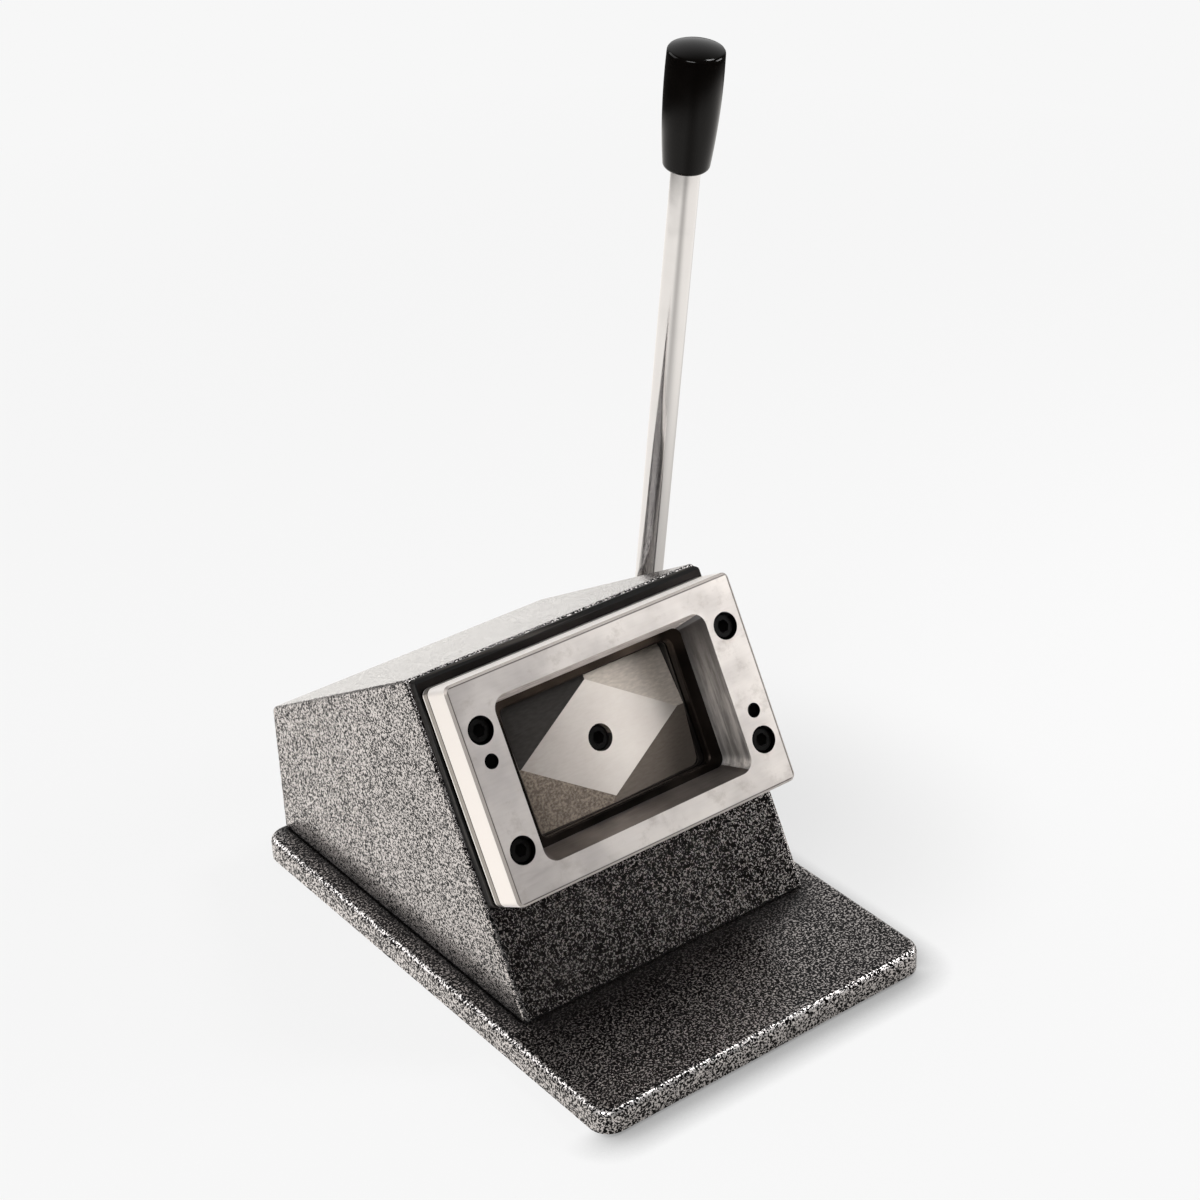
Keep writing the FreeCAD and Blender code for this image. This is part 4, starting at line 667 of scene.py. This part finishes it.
dress(bronze, "ram_liner", "ram_bushes", "shaft_bush_left", "shaft_bush_right")
dress(brass, "knob_insert")
dress(rubber, "base_pad", "housing_gasket")
dress(nylon, "shaft_grommet")

# %% [markdown]
# ## The punch
#
# The punch's face is a flat diamond with four slopes that fall towards the corners, so that the
# card is sheared from its middle outwards with less force. The diamond is ground bright and is
# painted lighter towards the right, as painted light. Each slope is painted its own shade by the
# way it leans, as painted light and shade: the upper right one light, with the lines of a rough
# wheel, the lower left one a pale brown with specks, and the other two dark. A slope is told from
# the diamond by how far it looks out of the face, and from its neighbours by the way its normal
# leans.

# %% Punch steel
DIAMOND_LOOK = 0.995


def punch_steel():
    material, tree = blank_material("hardened_punch_steel")
    face = face_place(tree)
    slope = add(tree, "ShaderNodeMath", {
        0: looks_towards(tree, FACE_OUT), 1: DIAMOND_LOOK,
    }, operation="LESS_THAN")
    right, upper = (
        add(tree, "ShaderNodeMath", {
            0: looks_towards(tree, direction), 1: 0.0,
        }, operation="GREATER_THAN")
        for direction in ((1.0, 0.0, 0.0), FACE_UP)
    )
    patches, lines, gloss = tool_marks(tree, face, 0.9, (0.3, 1.0, 1.0), 0.48, 0.6)
    specks = add(tree, "ShaderNodeTexNoise", {
        "Vector": face, "Scale": per_mm(1.1), "Detail": 3.0, "Roughness": 0.6,
    })
    specks = add(tree, "ShaderNodeMapRange", {"Value": specks, "From Min": 0.4, "From Max": 0.62})
    # Painted light: the diamond is painted lighter towards the right.
    across = add(tree, "ShaderNodeMapRange", {
        "Value": add(tree, "ShaderNodeSeparateXYZ", {"Vector": face}).outputs["X"],
        "From Min": -40.0 * MM, "From Max": 20.0 * MM,
    }, **EASED)
    # Painted light and shade: each slope gets its own colour by the way it leans.
    coarse_and_lit = layered(tree, "#AAA198", (lines, "#EAE2D9"))
    upper_pair = layered(tree, "#454240", (right, coarse_and_lit))
    lower_pair = layered(tree, "#7F746B", (specks, "#AB9F92"), (right, "#7F766E"))
    dull = layered(tree, "#A39B95", (across, "#E4DCD5"))
    light = layered(tree, "#ACA59F", (across, "#EBE4DD"))
    slopes = layered(tree, lower_pair, (upper, upper_pair))
    rougher = add(tree, "ShaderNodeMath", {0: slope, 1: 0.2, 2: gloss}, operation="MULTIPLY_ADD")
    colour = layered(tree, dull, (patches, light), (slope, slopes))
    grained(tree, colour, rougher, lines, 2 * MARK_DEPTH_MM)
    return material


dress(punch_steel(), "punch")

# %% [markdown]
# ## Lever
#
# The lever is a 12 mm bright bar, chromed after polishing. Its reflection is the whole look, so
# its mesh must be smooth: it is lathed here with many sides instead of taking the CAD mesh. The
# profile is a list of radius and height pairs along the lever, and the lathe turns it about the
# lever's own axis, which leans forward a little at rest.

# %% Lathe
LEVER_LEAN = math.radians(9.2)
lever_joint = next(j for j in frame["joints"] if j["name"] == "lever_swing")
hub_low, hub_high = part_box("lever_hub")
lever_foot = Vector(((hub_low.x + hub_high.x) / 2, *lever_joint["pos_m"][1:]))
lever_matrix = Matrix.Translation(lever_foot) @ Matrix.Rotation(LEVER_LEAN, 4, "X")


def crisp(mesh, sharp_degrees):
    """Smooth shading, apart from edges sharper than the angle."""
    mesh.shade_smooth()
    mesh.set_sharp_from_angle(angle=math.radians(sharp_degrees))


def lathe(name, profile, place, sides, sharp_degrees=35.0):
    """A closed turned piece: profile is (radius, height) in millimetres, foot to top."""
    mesh = bpy.data.meshes.new(name)
    build = bmesh.new()
    rings = []
    for radius, height in profile:
        angles = [math.tau * i / sides for i in range(sides)] if radius else [0.0]
        rings.append([
            build.verts.new(place @ (
                Vector((radius * math.cos(angle), radius * math.sin(angle), height)) * MM
            ))
            for angle in angles
        ])
    for low, high in zip(rings, rings[1:]):
        for i in range(sides):
            j = (i + 1) % sides
            if len(low) == 1:
                build.faces.new((low[0], high[j], high[i]))
            elif len(high) == 1:
                build.faces.new((low[i], low[j], high[0]))
            else:
                build.faces.new((low[i], low[j], high[j], high[i]))
    bmesh.ops.recalc_face_normals(build, faces=build.faces)
    build.to_mesh(mesh)
    build.free()
    crisp(mesh, sharp_degrees)
    return in_scene(name, mesh)


print("lever turns about", [round(c, 4) for c in lever_foot])

# %% Lever rod
ROD_R = 6.0
ROD_TENON_R = 5.0
ROD_FOOT = 9.56
ROD_SEAT = 16.05
ROD_END = 269.55
ROD_STEPS = 24
STUD_R = 4.0
STUD_LENGTH = 23.0

rod_step = (ROD_END - ROD_SEAT) / ROD_STEPS
rod_profile = [(0, ROD_FOOT), (ROD_TENON_R, ROD_FOOT), (ROD_TENON_R, ROD_SEAT), (ROD_R, ROD_SEAT)]
rod_profile += [(ROD_R, ROD_SEAT + rod_step * i) for i in range(1, ROD_STEPS + 1)]
rod_profile += [(STUD_R, ROD_END), (STUD_R, ROD_END + STUD_LENGTH), (0, ROD_END + STUD_LENGTH)]
lever_rod = lathe("chromed_lever_rod", rod_profile, lever_matrix, 64)
print("lever rod faces", len(lever_rod.data.polygons))

# %% [markdown]
# Chrome over polished steel is close to a mirror. Handling leaves faint smears, which show as
# slight changes of gloss, and drawing the bar leaves it a hair out of true, which wavers the
# reflections along it.

# %% Chrome plate
def chrome_plate():
    material, tree = blank_material("bright_chrome_plate")
    smear = add(tree, "ShaderNodeTexNoise", {
        "Vector": add(tree, "ShaderNodeTexCoord").outputs["Object"],
        "Scale": per_mm(14.0), "Detail": 3.0,
    })
    gloss = add(tree, "ShaderNodeMapRange", {
        "Value": smear, "From Min": 0.4, "From Max": 0.75, "To Min": 0.09, "To Max": 0.2,
    })
    grained(tree, "#D6D4D3", gloss, smear, 0.05, strength=0.25)
    return material


chrome = chrome_plate()
lever_rod.data.materials.append(chrome)
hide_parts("lever_rod")
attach(lever_rod, "lever")
dress(chrome, "lever_hub", "hub_washer")

# %% [markdown]
# ## Knob
#
# The knob is moulded phenolic, polished on a wheel: a slow swelling from foot to shoulder, a
# crisp shoulder and a shallow dome. The side is a circle's arc through three points, and the
# dome is part of a sphere, so its height for a given radius comes from one short formula.

# %% Knob
KNOB_FOOT_R = 9.57
KNOB_BELLY_R = 11.35
KNOB_BELLY_AT = 25.3
KNOB_TOP_R = 11.41
KNOB_SHOULDER = 50.1
KNOB_H = 52.35
KNOB_FOOT_ROUND = 2.0
KNOB_LIP_ROUND = 0.9
DOME_STEPS = 12


def arc_points(centre, radius, start, end, steps):
    """Points of a profile on an arc, angles in radians, from +radius towards +height."""
    angles = [start + (end - start) * i / steps for i in range(steps + 1)]
    return [(centre[0] + radius * math.cos(a), centre[1] + radius * math.sin(a)) for a in angles]


def arc_through(a, b, c, steps):
    """Points on the circle through three (radius, height) points, from a to c."""
    (ax, ay), (bx, by), (cx, cy) = a, b, c
    d = 2 * (ax * (by - cy) + bx * (cy - ay) + cx * (ay - by))
    sa, sb, sc = ax * ax + ay * ay, bx * bx + by * by, cx * cx + cy * cy
    ux = (sa * (by - cy) + sb * (cy - ay) + sc * (ay - by)) / d
    uy = (sa * (cx - bx) + sb * (ax - cx) + sc * (bx - ax)) / d
    first, last = math.atan2(ay - uy, ax - ux), math.atan2(cy - uy, cx - ux)
    return arc_points((ux, uy), math.hypot(ax - ux, ay - uy), first, last, steps)


foot_centre = (KNOB_FOOT_R - KNOB_FOOT_ROUND, KNOB_FOOT_ROUND)
side_foot = (KNOB_FOOT_R, KNOB_FOOT_ROUND)
side_top = (KNOB_TOP_R, KNOB_SHOULDER - KNOB_LIP_ROUND)
lip = (KNOB_TOP_R - KNOB_LIP_ROUND, KNOB_SHOULDER + 0.2)
rise = KNOB_H - lip[1]
dome_r = (lip[0] ** 2 + rise ** 2) / (2 * rise)
knob_profile = [(0, 0), (foot_centre[0], 0)]
knob_profile += arc_points(foot_centre, KNOB_FOOT_ROUND, math.radians(-80), 0, 7)
knob_profile += arc_through(side_foot, (KNOB_BELLY_R, KNOB_BELLY_AT), side_top, 26)[1:]
knob_profile += [
    (KNOB_TOP_R - 0.12, KNOB_SHOULDER - 0.45), (KNOB_TOP_R - 0.4, KNOB_SHOULDER - 0.05), lip
]
for i in range(DOME_STEPS - 1, 0, -1):
    radius = lip[0] * i / DOME_STEPS
    knob_profile.append((radius, KNOB_H - dome_r + math.sqrt(dome_r ** 2 - radius ** 2)))
knob_profile.append((0, KNOB_H))
knob_matrix = lever_matrix @ Matrix.Translation(Vector((0, 0, ROD_END)) * MM)
knob = lathe("phenolic_knob", knob_profile, knob_matrix, 96, 50.0)
print("knob faces", len(knob.data.polygons), "height", KNOB_H)

# %% [markdown]
# Phenolic comes out of its mould nearly black and takes a high polish. Its reflection is weak
# and sharp, so the gloss is high and the specular level low.

# %% Phenolic
phenolic = plain_finish(
    "polished_black_phenolic", "#040302", "#070504", 0.0, 0.08, 0.15, 9.0, specular=0.15
)
knob.data.materials.append(phenolic)
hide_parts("knob")
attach(knob, "lever")
print(phenolic.name, "on", knob.name)

# %% [markdown]
# ## Socket screws
#
# Four socket screws hold the cutting head and one holds the punch, each sunk in its own bore.
# They are all alike, so one head is modelled once, in Geometry Nodes: a cylinder with a
# chamfered rim, and a six-sided socket cut in it. The tree sets a copy on each point of a small
# point mesh and turns it to face out of the slope. The copies are then made real and turned
# into one plain mesh for each body, because a piece can ride on only one body. The button heads
# of the rear cover and the hub's end screw come from the same tree with other sizes and turns.

# %% Screw head tree
HEAD_SIDES = 48
HEAD_SIZES_MM = {
    "Head radius": 5.0, "Head height": 6.0, "Rim chamfer": 0.5, "Key radius": 2.89,
    "Socket depth": 3.0,
}


def socket_head_tree(material):
    tree = bpy.data.node_groups.new("socket_heads", "GeometryNodeTree")
    face = tree.interface
    face.new_socket("Points", in_out="INPUT", socket_type="NodeSocketGeometry")
    for label, size_mm in HEAD_SIZES_MM.items():
        socket = face.new_socket(label, in_out="INPUT", socket_type="NodeSocketFloat")
        socket.default_value = size_mm * MM
    turn_socket = face.new_socket("Turn", in_out="INPUT", socket_type="NodeSocketVector")
    turn_socket.default_value = (math.pi / 2 - FACE_TILT, 0.0, 0.0)
    face.new_socket("Heads", in_out="OUTPUT", socket_type="NodeSocketGeometry")
    sizes = add(tree, "NodeGroupInput").outputs

    def raised(geometry, height):
        offset = add(tree, "ShaderNodeCombineXYZ", {"Z": height})
        return add(tree, "GeometryNodeTransform", {
            "Geometry": geometry, "Translation": offset,
        }).outputs[0]

    body_h = add(tree, "ShaderNodeMath", {
        0: sizes["Head height"], 1: sizes["Rim chamfer"],
    }, operation="SUBTRACT")
    body_middle = add(tree, "ShaderNodeMath", {0: body_h, 1: 0.5}, operation="MULTIPLY")
    rim_r = add(tree, "ShaderNodeMath", {
        0: sizes["Head radius"], 1: sizes["Rim chamfer"],
    }, operation="SUBTRACT")
    socket_middle = add(tree, "ShaderNodeMath", {
        0: sizes["Socket depth"], 1: -0.5, 2: sizes["Head height"],
    }, operation="MULTIPLY_ADD")
    proud = add(tree, "ShaderNodeMath", {0: socket_middle, 1: 0.01 * MM}, operation="ADD")
    body = add(tree, "GeometryNodeMeshCylinder", {
        "Vertices": HEAD_SIDES, "Radius": sizes["Head radius"], "Depth": body_h,
    })
    rim = add(tree, "GeometryNodeMeshCone", {
        "Vertices": HEAD_SIDES, "Radius Bottom": sizes["Head radius"], "Radius Top": rim_r,
        "Depth": sizes["Rim chamfer"],
    })
    key = add(tree, "GeometryNodeMeshCylinder", {
        "Vertices": 6, "Radius": sizes["Key radius"], "Depth": sizes["Socket depth"],
    })
    solid = add(tree, "GeometryNodeMeshBoolean", operation="UNION")
    tree.links.new(raised(body, body_middle), solid.inputs["Mesh 2"])
    tree.links.new(raised(rim, body_h), solid.inputs["Mesh 2"])
    head = add(tree, "GeometryNodeMeshBoolean", {"Mesh 1": solid}, operation="DIFFERENCE")
    tree.links.new(raised(key, proud), head.inputs["Mesh 2"])
    copies = add(tree, "GeometryNodeInstanceOnPoints", {
        "Points": sizes["Points"], "Instance": head, "Rotation": sizes["Turn"],
    })
    real = add(tree, "GeometryNodeRealizeInstances", {"Geometry": copies})
    coloured = add(tree, "GeometryNodeSetMaterial", {"Geometry": real, "Material": material})
    add(tree, "NodeGroupOutput", {"Heads": coloured})
    return tree


socket_heads = socket_head_tree(black_oxide)
print("sockets in the tree:", [item.name for item in socket_heads.interface.items_tree])

# %% Heads on points
def grown(name, tree, points, values=None):
    """Runs a tree on loose points and gives back one plain mesh object."""
    seed = bpy.data.meshes.new(name + "_points")
    seed.from_pydata([tuple(p) for p in points], [], [])
    holder = in_scene(name + "_points", seed)
    modifier = holder.modifiers.new("grow", "NODES")
    modifier.node_group = tree
    identifiers = {
        item.name: item.identifier for item in tree.interface.items_tree
        if item.item_type == "SOCKET"
    }
    for label, value in (values or {}).items():
        modifier[identifiers[label]] = value
    bpy.context.view_layer.update()
    graph = bpy.context.evaluated_depsgraph_get()
    mesh = bpy.data.meshes.new_from_object(holder.evaluated_get(graph), depsgraph=graph)
    mesh.name = name
    bpy.data.objects.remove(holder)
    bpy.data.meshes.remove(seed)
    crisp(mesh, 30.0)
    return in_scene(name, mesh)


HEAD_SEAT_W = 16.7
PUNCH_SEAT_W = -3.7
head_spots = [
    on_face(sx * HEAD_SCREW_X, PLATE_CENTRE_V + sv * HEAD_SCREW_V, HEAD_SEAT_W)
    for sx in (-1, 1) for sv in (-1, 1)
]
punch_spot = on_face(0, PLATE_CENTRE_V, PUNCH_SEAT_W)
frame_heads = grown("frame_socket_screws", socket_heads, head_spots)
punch_head = grown("punch_socket_screw", socket_heads, [punch_spot])
print("frame heads", len(frame_heads.data.polygons), "faces")

# %% Button heads and end screw
COVER_HEAD = {
    "Head radius": 3.5 * MM, "Head height": 2.0 * MM, "Rim chamfer": 1.2 * MM,
    "Key radius": 1.44 * MM, "Socket depth": 1.2 * MM, "Turn": (-math.pi / 2, 0.0, 0.0),
}
cover_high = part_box("rear_cover_screws")[1]
cover_y = cover_high.y - COVER_HEAD["Head height"]
cover_rows = ((30.0 * MM, 28.0 * MM), (65.5 * MM, cover_high.z - COVER_HEAD["Head radius"]))
cover_spots = [Vector((sx * x, cover_y, z)) for sx in (-1, 1) for x, z in cover_rows]
cover_heads = grown("cover_button_screws", socket_heads, cover_spots, COVER_HEAD)
end_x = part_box("hub_end_screw")[1].x - HEAD_SIZES_MM["Head height"] * MM
end_spot = Vector((end_x, lever_foot.y, lever_foot.z))
end_head = grown("hub_socket_screw", socket_heads, [end_spot], {"Turn": (0.0, math.pi / 2, 0.0)})
placed = (
    (frame_heads, "frame_screws", "housing"), (punch_head, "punch_screw", "ram"),
    (cover_heads, "rear_cover_screws", "housing"), (end_head, "hub_end_screw", "lever"),
)
for piece, node, body in placed:
    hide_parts(node)
    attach(piece, body)
    print(piece.name, len(piece.data.polygons), "faces")

# %% [markdown]
# ## Return springs
#
# Four springs of rectangular wire push the ram back. A spring is the one piece here that changes
# its length: pulling the lever presses it together between the guide plate and the ram. The
# coils keep the CAD model's shape. Their loose triangles are merged, so that the wire shades
# smoothly.

# %% Coils
coil_mesh = nodes["return_springs"].data.copy()
coil_mesh.name = "return_spring_coils"
build = bmesh.new()
build.from_mesh(coil_mesh)
bmesh.ops.remove_doubles(build, verts=build.verts, dist=0.002 * MM)
build.to_mesh(coil_mesh)
build.free()
crisp(coil_mesh, 30.0)
coil_mesh.materials.clear()
coil_mesh.materials.append(spring_steel)
coils = in_scene("return_spring_coils", coil_mesh)
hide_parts("return_springs")
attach(coils, "housing")
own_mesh(coils)

# %% [markdown]
# ## Floor
#
# The machine stands on a pale sweep of paper. To the camera the paper is nearly white but keeps
# the machine's shadow: part of it glows for camera rays only, so the glow lights nothing. The
# glow is dimmed in a thin line along the base, found by ambient occlusion, and in a wide pool in
# the machine's lee on the right. Metal sees another paper: a bright middle that fades outwards
# with a dim band across it, as lamps at the two sides would light it. That band is what draws
# the dark streaks down the chromed lever.

# %% Floor mesh
FLOOR_HALF = 6.0

floor_mesh = bpy.data.meshes.new("studio_floor")
corners = [(x, y, 0) for x, y in ((-1, -1), (1, -1), (1, 1), (-1, 1))]
corners = [tuple(FLOOR_HALF * c for c in corner) for corner in corners]
floor_mesh.from_pydata(corners, [], [(0, 1, 2, 3)])
floor = in_scene("studio_floor", floor_mesh)
floor_material, paper_tree = blank_material("pale_paper_sweep")
floor_mesh.materials.append(floor_material)
print(floor.name, 2 * FLOOR_HALF, "m wide")

# %% Shade on the paper
LEE_MIDDLE = (0.09, 0.0, 0.0)
CONTACT_REACH = 0.016
CONTACT_FROM = Vector((-0.2, 0.6, 0.7))

place = add(paper_tree, "ShaderNodeTexCoord").outputs["Object"]
parts = add(paper_tree, "ShaderNodeSeparateXYZ", {"Vector": place})
open_sky = add(paper_tree, "ShaderNodeAmbientOcclusion", {
    "Distance": CONTACT_REACH, "Normal": CONTACT_FROM.normalized(),
}, samples=8)
dark = add(paper_tree, "ShaderNodeMath", {0: open_sky.outputs["AO"], 1: 1.9}, operation="POWER")
in_front = add(paper_tree, "ShaderNodeMapRange", {
    "Value": parts.outputs["Y"], "From Min": -0.128, "From Max": -0.112,
    "To Min": 1.0, "To Max": 0.0,
}, **EASED)
at_right = add(paper_tree, "ShaderNodeMapRange", {
    "Value": parts.outputs["X"], "From Min": 0.07, "From Max": 0.09,
}, **EASED)
shaded_side = add(paper_tree, "ShaderNodeMath", {0: in_front, 1: at_right}, operation="MAXIMUM")
contact = add(paper_tree, "ShaderNodeMix", {"Factor": shaded_side, "A": 1.0, "B": dark})
beside = add(paper_tree, "ShaderNodeVectorMath", {0: place, 1: LEE_MIDDLE}, operation="DISTANCE")
lee = add(paper_tree, "ShaderNodeMapRange", {
    "Value": beside, "From Min": 0.03, "From Max": 0.145, "To Min": 0.86, "To Max": 1.0,
}, **EASED)
dimmed = add(paper_tree, "ShaderNodeMath", {0: contact, 1: lee}, operation="MULTIPLY")
print("shade reaches", CONTACT_REACH / MM, "mm from the base")

# %% Light on the paper
SWEEP_MIDDLE = (0.15, 0.25, 0.0)
BAND_ACROSS = (-0.7, 0.7, 0.0)
BAND_OFFSET = 0.11

away = add(paper_tree, "ShaderNodeVectorMath", {0: place, 1: SWEEP_MIDDLE}, operation="DISTANCE")
sweep = add(paper_tree, "ShaderNodeMapRange", {
    "Value": away, "From Min": 0.63, "From Max": 0.76, "To Min": 1.0, "To Max": 0.05,
}, **EASED)
across = add(paper_tree, "ShaderNodeVectorMath", {
    0: place, 1: BAND_ACROSS,
}, operation="DOT_PRODUCT")
across = add(paper_tree, "ShaderNodeMath", {0: across, 1: BAND_OFFSET}, operation="ADD")
from_band = add(paper_tree, "ShaderNodeMath", {0: across}, operation="ABSOLUTE")
side_light = add(paper_tree, "ShaderNodeMapRange", {
    "Value": from_band, "From Min": 0.0, "From Max": 0.24, "To Min": 0.74, "To Max": 1.26,
}, **EASED)
lit = add(paper_tree, "ShaderNodeMath", {0: sweep, 1: side_light}, operation="MULTIPLY")
shaded = add(paper_tree, "ShaderNodeMath", {0: lit, 1: contact}, operation="MULTIPLY")
print("sweep's bright middle", SWEEP_MIDDLE)

# %% Paper
BACKGROUND = "#F7F7F7"

rays = add(paper_tree, "ShaderNodeLightPath")
paper = add(paper_tree, "ShaderNodeBsdfDiffuse", {"Color": "#E4E4E4"})
glow = add(paper_tree, "ShaderNodeEmission", {"Color": BACKGROUND, "Strength": dimmed})
mirrored = add(paper_tree, "ShaderNodeEmission", {"Color": "#F9F6F2", "Strength": shaded})
share = add(paper_tree, "ShaderNodeMapRange", {
    "Value": away, "From Min": 0.3, "From Max": 0.8, "To Min": 0.87, "To Max": 1.0,
})
seen = add(paper_tree, "ShaderNodeMixShader", {0: share, 1: paper, 2: glow})
to_camera = add(paper_tree, "ShaderNodeMixShader", {
    0: rays.outputs["Is Camera Ray"], 1: paper, 2: seen,
})
to_metal = add(paper_tree, "ShaderNodeMixShader", {
    0: rays.outputs["Is Glossy Ray"], 1: to_camera, 2: mirrored,
})
add(paper_tree, "ShaderNodeOutputMaterial", {"Surface": to_metal})
print(floor_material.name, "has", len(paper_tree.nodes), "nodes")

# %% [markdown]
# ## World and lamps
#
# The room is dim but for one pale wall behind, which the top of the base mirrors. The camera
# sees a plain white instead. A large lamp at the left and behind gives the bright left sides and
# the light across the roof, one in front of it fills the left side, and weaker ones overhead and
# at the front right lift the head and the front.

# %% World
BRIGHT_WALL_TOWARDS = Vector((0.5, 0.73, 0.46))

world = bpy.data.worlds.new("studio")
bpy.context.scene.world = world
world.use_nodes = True
world_tree = world.node_tree
world_tree.nodes.clear()
towards_wall = add(world_tree, "ShaderNodeVectorMath", {
    0: add(world_tree, "ShaderNodeTexCoord").outputs["Generated"],
    1: BRIGHT_WALL_TOWARDS.normalized(),
}, operation="DOT_PRODUCT")
wall_light = add(world_tree, "ShaderNodeMapRange", {
    "Value": towards_wall, "From Min": 0.6, "From Max": 1.0, "To Min": 0.1, "To Max": 1.1,
}, **EASED)
room = add(world_tree, "ShaderNodeBackground", {"Color": "#F1F1F1", "Strength": wall_light})
white = add(world_tree, "ShaderNodeBackground", {"Color": BACKGROUND, "Strength": 1.0})
either = add(world_tree, "ShaderNodeMixShader", {
    0: add(world_tree, "ShaderNodeLightPath").outputs["Is Camera Ray"], 1: room, 2: white,
})
add(world_tree, "ShaderNodeOutputWorld", {"Surface": either})
print(world.name, "has", len(world_tree.nodes), "nodes")

# %% Lamps
MACHINE_MIDDLE = Vector((0.0, 0.0, 0.08))
HEAD_FOOT = Vector((0.0, -0.077, 0.105))


def soft_lamp(name, at, towards, size, watts):
    data = bpy.data.lights.new(name, "AREA")
    data.shape = "RECTANGLE"
    data.size, data.size_y = size
    data.energy = watts
    aim = (towards - Vector(at)).to_track_quat("-Z", "Y").to_matrix().to_4x4()
    in_scene(name, data).matrix_world = Matrix.Translation(at) @ aim
    print(name, watts, "W")


soft_lamp("left_front_softbox", (-2.1, -1.5, 2.25), MACHINE_MIDDLE, (1.5, 1.5), 82.0)
soft_lamp("left_rear_softbox", (-1.9, 2.55, 1.9), MACHINE_MIDDLE, (3.0, 2.4), 56.0)
soft_lamp("overhead_softbox", (1.6, -0.3, 2.9), MACHINE_MIDDLE, (0.65, 0.65), 27.0)
soft_lamp("front_right_card", (0.75, -0.42, 0.42), HEAD_FOOT, (0.4, 0.4), 4.8)
